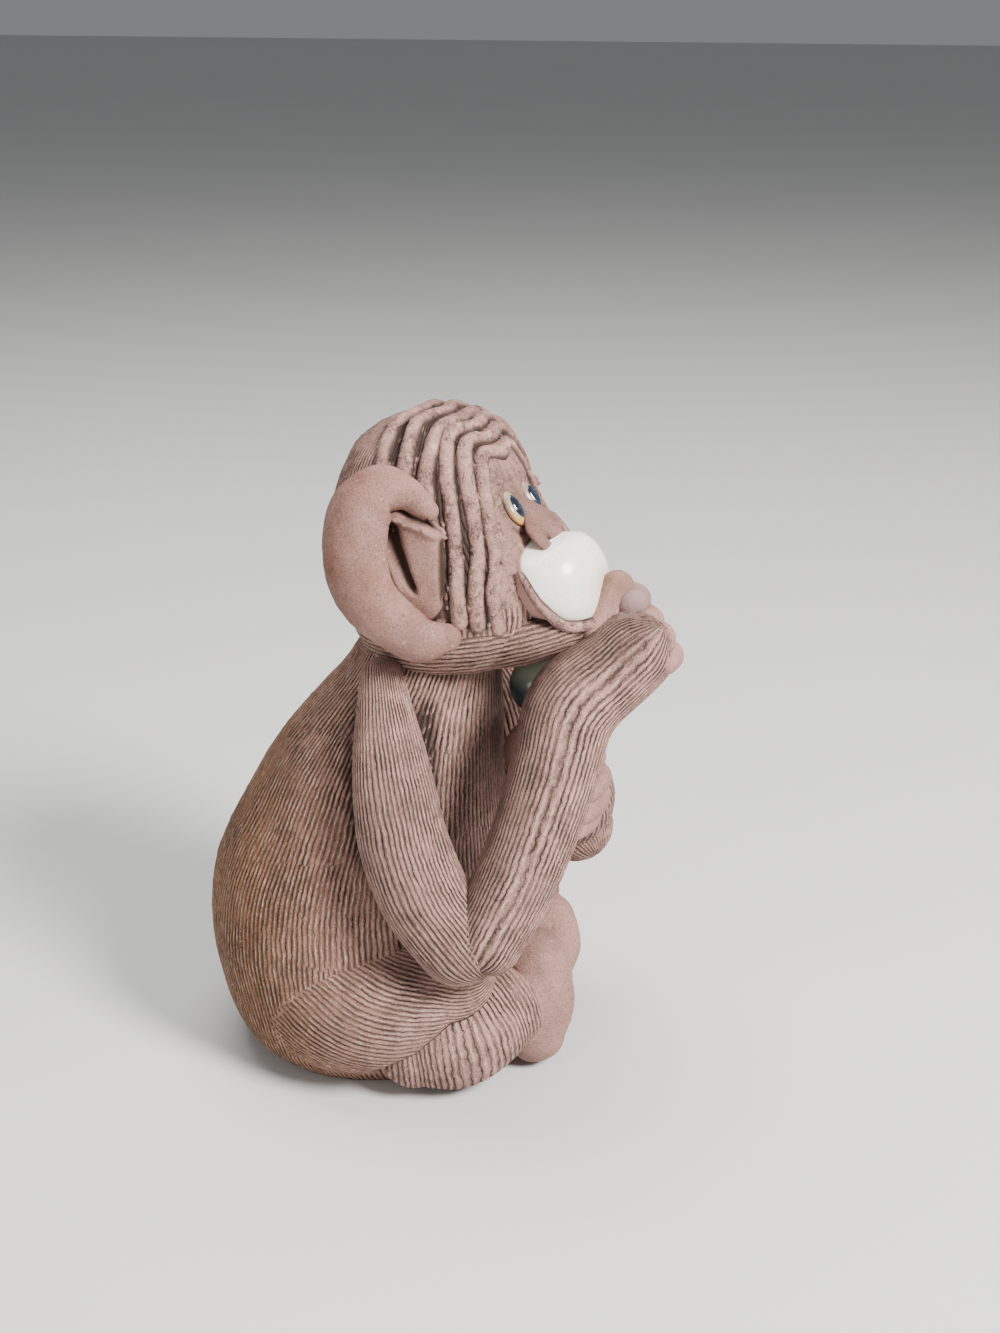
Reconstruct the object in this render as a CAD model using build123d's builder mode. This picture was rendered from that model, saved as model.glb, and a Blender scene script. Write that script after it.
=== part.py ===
from build123d import *
import os
from math import sqrt

# A seated clay monkey, hand built: hollow body and head, with rolled limbs, ears and fingers luted on.
# Millimetres. The monkey faces -Y, its right side is -X, and it stands on Z = 0.
# The origin is the middle of the vent hole on the underside.
# Where two clay pieces meet, the smaller one is cut to the larger one's surface, as luted clay is.

# Body and its closing disc
body_height = 69.0
body_width = 56.0
body_length = 51.0
body_wall = 4.5
disc_thickness = 5.0
vent_diameter = 7.0
neck_vent_diameter = 8.0

# Head, without the nose, the muzzle, the jaw and the rolls of hair
head_height = 38.0
head_width = 34.5
head_length = 35.0
head_wall = 4.0
neck_seat = 6.5
head_forward = 5.0
hair_roll_thickness = 2.5
hair_roll_sink = 0.35

# Face
mask_width = 19.0
mask_height = 22.0
mask_thickness = 9.0
mask_slope = 55
muzzle_width = 20.0
muzzle_length = 16.0
muzzle_height = 15.6
muzzle_rise = -4
jaw_width = 20.0
jaw_length = 26.5
jaw_height = 10.5
jaw_rise = 18
nose_width = 9.6
nose_length = 9.0
nose_flatness_share = 0.26
nose_slope = 32
nostril_diameter = 1.1
nostril_spacing = 3.4
eye_spacing = 6.2
eye_width = 3.6
eye_height = 5.6
eye_thickness = 2.8
pupil_width = 2.2
pupil_height = 3.4
pupil_thickness = 2.0
pupil_lift = 0.5
eye_lift = 0.3

# Ears
ear_height = 26.0
ear_length = 17.0
ear_flare = 4.6
ear_seat = 1.0
ear_rim_thickness = 8.6
ear_rim_flatness_share = 0.78
ear_cup_thickness = 4.4
ear_slit_width = 2.0
ear_slit_length = 9.0

# Arms and hands
upper_arm_thickness = 13.6
forearm_thickness = 11.6
arm_flatness_share = 0.82
hand_length = 16.5
hand_thickness = 10.5
hand_flatness_share = 0.62
thumb_thickness = 4.8
thumb_press = 0.4
finger_thickness = 4.4
left_palm_thickness = 10.8
left_palm_flatness_share = 0.92
left_finger_thickness = 3.6
left_finger_length = 8.0

# Legs and feet
thigh_thickness = 23.0
calf_thickness = 17.0
foot_thickness = 10.6

# Glazed ball that the left hand holds under the chin
ball_diameter = 9.4

# Horizontal sections from the foot up: height, width, length and forward place, as shares of the
# body's or head's own height, width, length and length.
body_section_shares = (
    (0.000, 0.77, 0.81, 0.075),
    (0.030, 0.85, 0.86, 0.080),
    (0.090, 0.94, 0.91, 0.085),
    (0.180, 0.99, 0.94, 0.100),
    (0.290, 1.00, 0.95, 0.120),
    (0.435, 0.93, 0.885, 0.130),
    (0.580, 0.82, 0.77, 0.09),
    (0.725, 0.73, 0.64, 0.03),
    (0.826, 0.63, 0.535, -0.025),
    (0.900, 0.52, 0.45, -0.07),
    (0.957, 0.44, 0.41, -0.098),
    (1.000, 0.40, 0.39, -0.11),
)
head_section_shares = (
    (0.000, 0.40, 0.457, 0.103),
    (0.045, 0.66, 0.657, 0.075),
    (0.120, 0.83, 0.800, 0.046),
    (0.225, 0.945, 0.914, 0.032),
    (0.355, 0.995, 0.957, 0.039),
    (0.510, 1.00, 0.895, 0.085),
    (0.670, 0.96, 0.790, 0.136),
    (0.800, 0.86, 0.690, 0.138),
    (0.905, 0.68, 0.535, 0.139),
    (0.965, 0.46, 0.331, 0.132),
    (0.990, 0.26, 0.160, 0.132),
)

# A clay roll's rounded end: distance past the last station and radius, as shares of the end radius.
round_end_shares = ((0.40, 0.92), (0.72, 0.69), (0.92, 0.38), (0.98, 0.20))

# An oval lump's sections from its bottom to its top, as shares of its half height.
lump_rise_shares = (
    (-0.99, -0.95, -0.87, -0.75, -0.60, -0.42, -0.22, 0.0, 0.22, 0.42, 0.60, 0.75, 0.87, 0.95, 0.99)
)

# Rolls of hair from the face back, each from its lower end up to the crown and then to its dip at the
# middle of the head, as length and height shares of the head.
hair_roll_shares = (
    (
        (-0.305, 0.262), (-0.288, 0.395), (-0.275, 0.520), (-0.224, 0.640), (-0.183, 0.765),
        (-0.141, 0.868), (-0.170, 0.855),
    ),
    (
        (-0.241, 0.285), (-0.233, 0.402), (-0.222, 0.530), (-0.178, 0.670), (-0.132, 0.805),
        (-0.085, 0.912), (-0.115, 0.908),
    ),
    (
        (-0.181, 0.300), (-0.171, 0.405), (-0.155, 0.530), (-0.116, 0.680), (-0.066, 0.835),
        (-0.022, 0.943), (-0.055, 0.948),
    ),
    ((-0.060, 0.640), (-0.030, 0.730), (-0.008, 0.810), (0.004, 0.885), (0.022, 0.955), (0.005, 0.972)),
    ((0.060, 0.790), (0.077, 0.842), (0.094, 0.920), (0.117, 0.976), (0.085, 0.988)),
    ((0.165, 0.800), (0.175, 0.847), (0.187, 0.902), (0.204, 0.958), (0.175, 0.990)),
)

# Limb stations: place as shares of body width, length and height, and radius as a share of half the
# limb's thickness. The figure's right side is listed, and the left arm and leg mirror it.
upper_arm_shares = (
    (-0.285, -0.095, 0.930, 0.50),
    (-0.335, -0.137, 0.850, 0.68),
    (-0.370, -0.176, 0.735, 0.86),
    (-0.395, -0.220, 0.614, 0.96),
    (-0.405, -0.300, 0.492, 0.98),
    (-0.400, -0.390, 0.410, 0.93),
)
left_forearm_shares = (
    (0.385, -0.390, 0.440, 0.96),
    (0.310, -0.440, 0.510, 1.00),
    (0.225, -0.475, 0.580, 0.92),
    (0.140, -0.490, 0.640, 0.80),
)
thigh_shares = (
    (-0.270, 0.200, 0.165, 0.85),
    (-0.325, 0.020, 0.175, 1.00),
    (-0.335, -0.140, 0.205, 0.90),
    (-0.285, -0.290, 0.250, 0.64),
)
calf_shares = (
    (-0.350, -0.215, 0.104, 0.68),
    (-0.285, -0.325, 0.124, 0.90),
    (-0.168, -0.400, 0.165, 0.86),
)
right_foot_shares = (
    (-0.088, -0.480, 0.082, 0.92),
    (-0.090, -0.500, 0.180, 1.00),
    (-0.086, -0.485, 0.262, 0.90),
)
left_foot_shares = (
    (0.074, -0.415, 0.165, 0.90),
    (0.070, -0.447, 0.232, 1.00),
    (0.066, -0.435, 0.290, 0.92),
)
left_leg_back_share = 0.055
left_palm_shares = (
    (0.062, -0.410, 0.700, 0.94),
    (0.056, -0.460, 0.664, 1.00),
    (0.052, -0.515, 0.627, 0.98),
)
ball_share = (0.116, -0.397, 0.841)

# Right elbow, where the forearm starts inside the upper arm's end
elbow_share = (-0.386, -0.468, 0.425)

# Forearm stations from elbow to wrist: way along and radius as a share of half the thickness. The
# forearm bows forward by a share of its thickness.
forearm_shares = ((0.0, 0.90), (0.2, 1.0), (0.42, 1.04), (0.64, 1.08), (0.84, 1.11), (1.0, 1.13))
forearm_bow_share = 0.15

# Right hand: places from the thumb's tip, as shares of the hand's length
wrist_share = (-0.39, 0.26, -0.85)
palm_share = (-0.27, 0.01, -0.75)
knuckle_share = (-0.19, -0.22, -0.51)
thumb_way_shares = ((-0.19, 0.10, -0.37), (-0.08, 0.05, -0.15))
finger_names = ("index", "middle", "ring", "little")
finger_root_shares = (
    (-0.04, -0.14, -0.13),
    (-0.06, -0.27, -0.30),
    (-0.09, -0.40, -0.43),
    (-0.15, -0.49, -0.55),
)
finger_curl_shares = ((0.0, 0.0, 0.0), (0.20, 0.03, -0.02), (0.34, 0.16, -0.04))

palm_thickness_shares = (1.05, 1.2, 1.14)

# Left hand's fingers, laid across the front of the palm: forward place and rise from the palm's last
# station, as shares of the palm's thickness, and how far each one's middle is pushed forward
left_finger_shares = ((-0.25, 0.42), (-0.34, 0.13), (-0.33, -0.16), (-0.22, -0.42))
left_finger_bow_share = 0.1

# Ear rim stations: flare, length and height as shares of the ear's sizes, and radius as a share of
# half the rim's thickness. They start where the rim leaves the head in front and go round the back.
ear_rim_shares = (
    (-0.16, -0.14, 0.28, 0.40),
    (0.05, 0.02, 0.37, 0.62),
    (0.27, 0.15, 0.39, 0.85),
    (0.66, 0.31, 0.31, 1.04),
    (0.95, 0.37, 0.08, 1.12),
    (0.90, 0.29, -0.16, 1.08),
    (0.64, 0.05, -0.33, 0.95),
    (0.34, -0.16, -0.41, 0.78),
    (0.01, -0.33, -0.40, 0.50),
)

# Nose stations from the bridge down: back place and rise from the nose's middle as shares of its
# length, and radius as a share of half its width
nose_station_shares = ((0.233, 0.189, 0.25), (0.0, 0.0, 0.71), (-0.133, -0.155, 1.0))

# Shares of the sizes above that set smaller places
mask_share = (-0.190, 0.603)
muzzle_share = (-0.392, 0.390)
jaw_share = (-0.277, 0.180)
nose_share = (-0.317, 0.658)
ear_share = (0.017, 0.526)
ear_cup_share = (0.74, 0.715)
ear_slit_share = (0.09, 0.01)
ear_slit_tilt = 67
thumb_tip_share = (0.05, -0.02)
nostril_place_share = 0.55

# Places worked out from the sizes
neck_y = body_section_shares[-1][3] * body_length
head_base = Vector(0, neck_y - head_forward, body_height - neck_seat)
front = Vector(0, -1, 0)
side = Vector(-1, 0, 0)
up = Vector(0, 0, 1)


# Shared shapes
def head_point(share):
    """A place on the head's middle plane, given as shares of its length and height."""
    return Vector(0, head_base.Y + share[0] * head_length, head_base.Z + share[1] * head_height)


def body_point(x_share, y_share, z_share):
    """A place given as shares of the body's sizes."""
    return Vector(x_share * body_width, y_share * body_length, z_share * body_height)


def hand_point(share):
    """A place on the right hand, from the tip of its thumb."""
    return thumb_tip + Vector(*share) * hand_length


def between(ways, values, way):
    """The value at a way along, from the values given at the nearest two ways."""
    rows = list(zip(ways, values))
    low, high = next((pair for pair in zip(rows, rows[1:]) if way <= pair[1][0]), (rows[-2], rows[-1]))
    return low[1] + (high[1] - low[1]) * (way - low[0]) / (high[0] - low[0])


def oval_stack(section_shares, foot, width, length, height, inset=0.0):
    """A solid through horizontal ovals, each drawn in by the inset."""
    with BuildPart() as stack:
        for rise, across, along, back in section_shares:
            with BuildSketch(Plane.XY.offset(foot.Z + rise * height)):
                with Locations((foot.X, foot.Y + back * length)):
                    Ellipse(across * width / 2 - inset, along * length / 2 - inset)
        loft()
    return stack.part


def clay_roll(points, radii, outward, flatness=1.0, steps=7):
    """A tapering roll with round ends, thinner by the flatness in the outward direction."""
    if steps:
        path = Edge.make_spline(points)
        ways = [path.param_at_point(point) for point in points]
        spots = [step / steps for step in range(steps + 1)]
        radii = [between(ways, radii, spot) for spot in spots]
        points = [path @ spot for spot in spots]
    first = (points[0] - points[1]).normalized()
    last = (points[-1] - points[-2]).normalized()
    start_cap = [(points[0] + first * radii[0] * d, radii[0] * r) for d, r in round_end_shares]
    end_cap = [(points[-1] + last * radii[-1] * d, radii[-1] * r) for d, r in round_end_shares]
    stations = start_cap[::-1] + list(zip(points, radii)) + end_cap
    places = [place for place, _ in stations]
    with BuildPart() as roll:
        for i, (place, radius) in enumerate(stations):
            along = places[min(i + 1, len(places) - 1)] - places[max(i - 1, 0)]
            with BuildSketch(Plane(origin=place, x_dir=along.cross(outward), z_dir=along)):
                Ellipse(radius, radius * flatness)
        loft(ruled=True)
    return roll.part


def egg(centre, width, length, height, tilt=0):
    """An oval lump tilted about the axis that runs from ear to ear."""
    with BuildPart() as lump:
        for rise in lump_rise_shares:
            swell = sqrt(1 - rise**2)
            with BuildSketch(Plane.XY.offset(rise * height / 2)):
                Ellipse(width / 2 * swell, length / 2 * swell)
        loft(ruled=True)
    return lump.part.moved(Location(centre, (tilt, 0, 0)))


def head_side(y, z):
    """The point on the right of the head's surface that is seen there from the side."""
    rise = (z - head_base.Z) / head_height
    rows = list(zip(head_section_shares, head_section_shares[1:]))
    low, high = next((pair for pair in rows if rise <= pair[1][0]), rows[-1])
    way = (rise - low[0]) / (high[0] - low[0])
    across, along, back = (low[k] + (high[k] - low[k]) * way for k in (1, 2, 3))
    from_centre = (y - head_base.Y - back * head_length) / (along * head_length / 2)
    return Vector(-across * head_width / 2 * sqrt(max(0, 1 - from_centre**2)), y, z)


def largest(part):
    """The main solid of a part that a cut may have left with slivers."""
    return part.solids().sort_by(SortBy.VOLUME)[-1]


def luted(form, *neighbours):
    """A piece of clay cut to the surfaces that it is pressed on, and flat where it meets the table."""
    with BuildPart() as piece:
        add(form)
        for neighbour in neighbours:
            add(neighbour, mode=Mode.SUBTRACT)
        split(bisect_by=Plane.XY, keep=Keep.TOP)
    return largest(piece.part)


def finish(part, label):
    """Labels a piece and writes it."""
    part.label = label
    export_step(part, "parts/" + label + ".step")
    print(label, round(part.volume, 1), len(part.solids()))


os.makedirs("parts", exist_ok=True)
mask_centre = head_point(mask_share)
muzzle_centre = head_point(muzzle_share)
jaw_centre = head_point(jaw_share)
nose_centre = head_point(nose_share)
ear_centre = head_point(ear_share) + side * (head_width / 2 - ear_seat)
thumb_tip = muzzle_centre + Vector(
    thumb_tip_share[0] * muzzle_width,
    -muzzle_length / 2 - thumb_thickness / 2 + thumb_press,
    thumb_tip_share[1] * muzzle_height,
)

# Full forms of the body and the head, which the pieces luted to them are cut to
body_form = oval_stack(body_section_shares, Vector(0, 0, 0), body_width, body_length, body_height)
head_form = oval_stack(head_section_shares, head_base, head_width, head_length, head_height)

# Body shell, open below for the disc
body_hollow = oval_stack(
    body_section_shares, Vector(0, 0, 0), body_width, body_length, body_height, body_wall
)
with BuildPart() as body_shell:
    add(body_form)
    add(body_hollow, mode=Mode.SUBTRACT)
finish(body_shell.part, "body_shell")

# Disc that closes the body, with the vent that lets steam out in the kiln
with BuildPart() as base_disc:
    add(body_hollow)
    split(bisect_by=Plane.XY.offset(disc_thickness), keep=Keep.BOTTOM)
    Hole(vent_diameter / 2)
finish(base_disc.part, "base_disc")

# Head shell, seated over the neck and open to it
head_hollow = oval_stack(
    head_section_shares[1:-2],
    head_base + Vector(0, 0, head_wall),
    head_width,
    head_length,
    head_height - head_wall,
    head_wall,
)
with BuildPart() as head_shell:
    add(head_form)
    add(head_hollow, mode=Mode.SUBTRACT)
    add(body_form, mode=Mode.SUBTRACT)
    with Locations((0, neck_y, body_height)):
        Cylinder(neck_vent_diameter / 2, neck_seat, mode=Mode.SUBTRACT)
finish(head_shell.part, "head_shell")


# Jaw and muzzle, with the smile between them and the nose laid on top
jaw_form = egg(jaw_centre, jaw_width, jaw_length, jaw_height, -jaw_rise)
nose_lift = up.rotate(Axis.X, nose_slope)
nose_points = [nose_centre + Vector(0, back, rise) * nose_length for back, rise, _ in nose_station_shares]
nose_radii = [radius * nose_width / 2 for *_, radius in nose_station_shares]
nose_form = clay_roll(nose_points, nose_radii, nose_lift, nose_flatness_share, steps=0)
muzzle_form = egg(muzzle_centre, muzzle_width, muzzle_length, muzzle_height, -muzzle_rise)
with BuildPart() as jaw:
    add(luted(jaw_form, head_form, body_form))
finish(jaw.part, "jaw")
with BuildPart() as muzzle:
    add(luted(muzzle_form, head_form, jaw_form, nose_form))
finish(muzzle.part, "muzzle")


# Rolls of hair over the head from cheek to cheek, each with a dip at the middle
def hair_roll(shares):
    """One roll laid on the head."""
    seen = [head_point(share) for share in shares]
    right = [head_side(point.Y, point.Z) for point in seen[:-1]]
    left = [Vector(-point.X, point.Y, point.Z) for point in right]
    path = right + seen[-1:] + left[::-1]
    centre = head_base + Vector(0, 0, head_height / 2)
    sunk = [point - (point - centre).normalized() * hair_roll_sink for point in path]
    radii = [hair_roll_thickness / 2] * len(sunk)
    return clay_roll(sunk, radii, front, steps=0)


roll_forms = [hair_roll(shares) for shares in hair_roll_shares]
for number, roll_form in enumerate(roll_forms):
    with BuildPart() as roll:
        add(luted(roll_form, head_form, jaw_form, muzzle_form, *roll_forms[max(number - 1, 0):number]))
    finish(roll.part, "hair_roll_" + str(number + 1))

# Mask round the eyes, and the nose with its two nostrils
mask_form = egg(mask_centre, mask_width, mask_height, mask_thickness, mask_slope)
with BuildPart() as face_mask:
    add(luted(mask_form, head_form, muzzle_form, roll_forms[0]))
finish(face_mask.part, "face_mask")
nose_depth = nose_width * nose_flatness_share
nose_way = (nose_points[-1] - nose_points[-2]).normalized()
nostrils = Plane(
    nose_points[-1] + nose_way * nose_width / 2 * nostril_place_share - nose_lift * nose_depth,
    x_dir=-side,
    z_dir=nose_lift,
)
with BuildPart() as nose:
    add(luted(nose_form, head_form, mask_form, jaw_form))
    with BuildSketch(nostrils):
        with Locations((-nostril_spacing / 2, 0), (nostril_spacing / 2, 0)):
            Circle(nostril_diameter / 2)
    extrude(amount=nose_depth * 2, mode=Mode.SUBTRACT)
finish(nose.part, "nose")


# Eyes: a glazed white and a domed pupil, each let into what carries it
def eye_form(spacing, width, height, thickness, lift):
    """An oval on the mask's slope, the right one of the pair."""
    rise = up.rotate(Axis.X, mask_slope) * (mask_thickness / 2 + lift)
    return egg(mask_centre + rise + side * spacing / 2, width, height, thickness, mask_slope)


for name, direction in (("right", 1), ("left", -1)):
    white_form = eye_form(eye_spacing * direction, eye_width, eye_height, eye_thickness, -eye_lift)
    pupil_form = eye_form(
        eye_spacing * direction, pupil_width, pupil_height, pupil_thickness, pupil_lift
    )
    with BuildPart() as eye_white:
        add(luted(white_form, mask_form, head_form, nose_form))
    finish(eye_white.part, name + "_eye_white")
    with BuildPart() as pupil:
        add(luted(pupil_form, white_form, mask_form, nose_form))
    finish(pupil.part, name + "_pupil")

# Ears: a thick rolled rim round a thin cup with a slit in it
ear_points = [
    ear_centre + Vector(-flare * ear_flare, along * ear_length, rise * ear_height)
    for flare, along, rise, _ in ear_rim_shares
]
ear_radii = [share * ear_rim_thickness / 2 for *_, share in ear_rim_shares]
rim_form = clay_roll(ear_points, ear_radii, side, ear_rim_flatness_share, steps=9)
cup_length, cup_height = ear_cup_share[0] * ear_length, ear_cup_share[1] * ear_height
cup_form = egg(ear_centre, ear_cup_thickness, cup_length, cup_height)
slit_back, slit_rise = ear_slit_share[0] * ear_length, ear_slit_share[1] * ear_height
with BuildPart() as right_ear_rim:
    add(luted(rim_form, head_form, *roll_forms[2:]))
finish(right_ear_rim.part, "right_ear_rim")
with BuildPart() as right_ear_cup:
    add(luted(cup_form, head_form, rim_form, *roll_forms[2:]))
    with BuildSketch(Plane.YZ):
        with Locations((ear_centre.Y + slit_back, ear_centre.Z + slit_rise)):
            SlotOverall(ear_slit_length, ear_slit_width, rotation=ear_slit_tilt)
    extrude(amount=-head_width, mode=Mode.SUBTRACT)
finish(right_ear_cup.part, "right_ear_cup")
with BuildPart() as left_ear_rim:
    mirror(right_ear_rim.part, about=Plane.YZ)
finish(left_ear_rim.part, "left_ear_rim")
with BuildPart() as left_ear_cup:
    mirror(right_ear_cup.part, about=Plane.YZ)
finish(left_ear_cup.part, "left_ear_cup")


# Legs: thigh from the hip, calf folded under it, and the foot turned up at the middle
def limb(station_shares, thickness, outward, hand=1, flatness=1.0, steps=7, back=0):
    """A roll through stations placed on the body, on the right for a hand of 1 and mirrored for -1."""
    points = [body_point(hand * x, y + back, z) for x, y, z, _ in station_shares]
    radii = [radius * thickness / 2 for *_, radius in station_shares]
    return clay_roll(points, radii, outward, flatness, steps)


hands = (("right", 1), ("left", -1))
backs = {"right": 0, "left": left_leg_back_share}
thigh_forms = {
    name: limb(thigh_shares, thigh_thickness, up, hand, steps=5, back=backs[name]) for name, hand in hands
}
calf_forms = {
    name: limb(calf_shares, calf_thickness, up, hand, steps=4, back=backs[name]) for name, hand in hands
}
for name, _ in hands:
    with BuildPart() as calf:
        add(luted(calf_forms[name], body_form))
    finish(calf.part, name + "_calf")
    with BuildPart() as thigh:
        add(luted(thigh_forms[name], body_form, calf_forms[name]))
    finish(thigh.part, name + "_thigh")

# Feet, soles together at the front, the left one resting higher
right_foot_form = limb(right_foot_shares, foot_thickness, front, steps=4)
left_foot_form = limb(left_foot_shares, foot_thickness, front, steps=4)
legs = [body_form, *thigh_forms.values(), *calf_forms.values()]
with BuildPart() as right_foot:
    add(luted(right_foot_form, *legs))
finish(right_foot.part, "right_foot")
with BuildPart() as left_foot:
    add(luted(left_foot_form, right_foot_form, *legs))
finish(left_foot.part, "left_foot")

# Arms: the right forearm runs from its elbow up to the lips, the left one across the chest
arm_forms = {
    name: limb(upper_arm_shares, upper_arm_thickness, side, hand, arm_flatness_share)
    for name, hand in hands
}
for name, _ in hands:
    with BuildPart() as upper_arm:
        add(luted(arm_forms[name], body_form, head_form, thigh_forms[name], calf_forms[name]))
    finish(upper_arm.part, name + "_upper_arm")
elbow = body_point(*elbow_share)
wrist = hand_point(wrist_share)


def forearm(start, end):
    """A forearm with a slight bow forward."""
    way = end - start
    bow = front * forearm_thickness * forearm_bow_share
    points = [start + way * share + bow * 4 * share * (1 - share) for share, _ in forearm_shares]
    return clay_roll(points, [radius * forearm_thickness / 2 for _, radius in forearm_shares], side)


forearm_form = forearm(elbow, wrist)
with BuildPart() as right_forearm:
    add(luted(forearm_form, arm_forms["right"], body_form, thigh_forms["right"], head_form, jaw_form))
finish(right_forearm.part, "right_forearm")

# Right hand, its thumb on the upper lip and its four fingers curled away behind
palm_points = [wrist, hand_point(palm_share), hand_point(knuckle_share)]
palm_radii = [share * hand_thickness / 2 for share in palm_thickness_shares]
palm_form = clay_roll(palm_points, palm_radii, side, hand_flatness_share)
thumb_points = [hand_point(share) for share in thumb_way_shares] + [thumb_tip]
thumb_form = clay_roll(thumb_points, [thumb_thickness / 2] * len(thumb_points), side)
with BuildPart() as right_palm:
    add(luted(palm_form, forearm_form, muzzle_form, jaw_form))
finish(right_palm.part, "right_palm")
with BuildPart() as right_thumb:
    add(luted(thumb_form, palm_form, muzzle_form, jaw_form))
finish(right_thumb.part, "right_thumb")
earlier = [palm_form, forearm_form, muzzle_form, jaw_form, thumb_form]
for name, root in zip(finger_names, finger_root_shares):
    points = [hand_point(Vector(*root) + Vector(*curl)) for curl in finger_curl_shares]
    finger_form = clay_roll(points, [finger_thickness / 2] * len(points), front)
    with BuildPart() as finger:
        add(luted(finger_form, *earlier))
    finish(finger.part, "right_" + name + "_finger")
    earlier.append(finger_form)

# Left forearm, with the hand held out from the chest under the ball
left_forearm_form = limb(left_forearm_shares, forearm_thickness, front)
left_palm_form = limb(
    left_palm_shares, left_palm_thickness, side, flatness=left_palm_flatness_share, steps=4
)
with BuildPart() as left_forearm:
    add(luted(left_forearm_form, arm_forms["left"], body_form, thigh_forms["left"]))
finish(left_forearm.part, "left_forearm")
with BuildPart() as left_hand:
    add(luted(left_palm_form, left_forearm_form, body_form, forearm_form))
finish(left_hand.part, "left_palm")
earlier = [left_palm_form, left_forearm_form, forearm_form, body_form]
knuckles = body_point(*left_palm_shares[-1][:3])
for name, (forward, rise) in zip(finger_names, left_finger_shares):
    middle = knuckles + Vector(0, forward, rise) * left_palm_thickness
    reach = side * left_finger_length / 2
    bow = front * left_finger_length * left_finger_bow_share
    points = [middle - reach, middle + bow, middle + reach]
    finger_form = clay_roll(points, [left_finger_thickness / 2] * len(points), front, steps=4)
    with BuildPart() as finger:
        add(luted(finger_form, *earlier))
    finish(finger.part, "left_" + name + "_finger")
    earlier.append(finger_form)

# Glazed ball under the chin, seated on the chest and on the left hand
with BuildPart() as ball:
    with Locations(body_point(*ball_share)):
        Sphere(ball_diameter / 2)
with BuildPart() as glazed_ball:
    add(luted(ball.part, body_form, left_palm_form, left_forearm_form))
finish(glazed_ball.part, "glazed_ball")
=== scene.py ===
import bpy
import math
import numpy as np
from mathutils import Matrix, Vector
from mathutils.bvhtree import BVHTree


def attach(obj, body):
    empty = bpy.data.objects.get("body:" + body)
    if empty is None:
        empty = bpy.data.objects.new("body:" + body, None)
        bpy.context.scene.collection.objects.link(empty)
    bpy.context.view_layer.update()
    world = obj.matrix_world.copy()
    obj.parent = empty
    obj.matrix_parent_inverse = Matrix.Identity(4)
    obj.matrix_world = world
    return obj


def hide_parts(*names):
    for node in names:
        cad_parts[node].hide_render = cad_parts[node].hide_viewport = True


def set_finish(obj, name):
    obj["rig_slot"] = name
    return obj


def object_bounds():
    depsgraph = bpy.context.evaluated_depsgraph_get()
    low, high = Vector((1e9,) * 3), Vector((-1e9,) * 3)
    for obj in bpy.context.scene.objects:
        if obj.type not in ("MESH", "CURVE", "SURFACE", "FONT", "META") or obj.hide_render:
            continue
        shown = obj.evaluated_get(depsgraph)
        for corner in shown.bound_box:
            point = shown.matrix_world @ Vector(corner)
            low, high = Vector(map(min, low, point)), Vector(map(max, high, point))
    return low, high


# A seated young chimpanzee, hand built from combed stoneware. Lengths are in millimetres, but in
# metres for the finishes, camera, lamps and floor.
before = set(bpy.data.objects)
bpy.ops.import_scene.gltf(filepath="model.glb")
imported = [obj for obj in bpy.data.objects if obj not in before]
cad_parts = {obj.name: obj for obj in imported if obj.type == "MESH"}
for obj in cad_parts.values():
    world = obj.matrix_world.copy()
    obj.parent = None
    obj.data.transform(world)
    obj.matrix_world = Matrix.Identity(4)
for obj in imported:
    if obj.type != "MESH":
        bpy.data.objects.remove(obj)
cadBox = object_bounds()
print("frame loaded:", len(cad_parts), "nodes")
mm = 0.001
boxGap = 0.02  # every piece stays this far inside the solids' box
boxLow = np.array(cadBox[0]) / mm + (boxGap, boxGap, 0)
boxHigh = np.array(cadBox[1]) / mm - boxGap

front = np.array([0.0, -1.0, 0.0])
side = np.array([-1.0, 0.0, 0.0])  # the figure's right
up = np.array([0.0, 0.0, 1.0])
fullTurn = 2 * math.pi
capRows = 12  # rows of a roll's rounded end
latticeSize = 32
dice = np.random.default_rng(11)
lattice = dice.random((latticeSize,) * 3)


def unit(v):
    v = np.asarray(v, float)
    return v / np.maximum(np.linalg.norm(v, axis=-1, keepdims=True), 1e-9)


def ramp(low, high, value):
    t = np.clip((value - low) / (high - low), 0, 1)
    return t * t * (3 - 2 * t)


def bell(value, width):
    # 1 where the value is zero, fading to both sides
    return np.exp(-((value / width) ** 2))


def clump(places, size, shift=0.0):
    # soft lumps between -1 and 1, as large as size
    q = places / size + shift
    base = np.floor(q).astype(int)
    f = q - base
    f = f * f * (3 - 2 * f)
    total = 0.0
    for corner in range(8):
        o = np.array([corner & 1, corner >> 1 & 1, corner >> 2 & 1])
        i = (base + o) % latticeSize
        total = total + np.prod(np.where(o, f, 1 - f), axis=-1) * lattice[i[..., 0], i[..., 1], i[..., 2]]
    return total * 2 - 1


def crumble(places, size, shift, least):
    # stray crumbs of clay, fewer where least is higher
    return np.clip(clump(places, size, shift) - least, 0, 1)


def flow(rows, count):
    # a smooth run through rows of values, measured along their first three
    rows = np.array(rows, float)
    t = np.r_[0, np.cumsum(np.linalg.norm(np.diff(rows[:, :3], axis=0), axis=1))]
    return ease(np.linspace(0, t[-1], count), t, rows)


def ease(at, t, rows):
    rows = np.asarray(rows, float)
    slope = np.gradient(rows, t, axis=0)
    i = np.clip(np.searchsorted(t, at, side="right") - 1, 0, len(t) - 2)
    h = (t[i + 1] - t[i])[:, None]
    u = (at - t[i])[:, None] / h
    return ((2 * u**3 - 3 * u**2 + 1) * rows[i] + (u**3 - 2 * u**2 + u) * h * slope[i]
            + (3 * u**2 - 2 * u**3) * rows[i + 1] + (u**3 - u**2) * h * slope[i + 1])


def station(place, thickness):
    return tuple(place) + (thickness / 2,)


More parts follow.
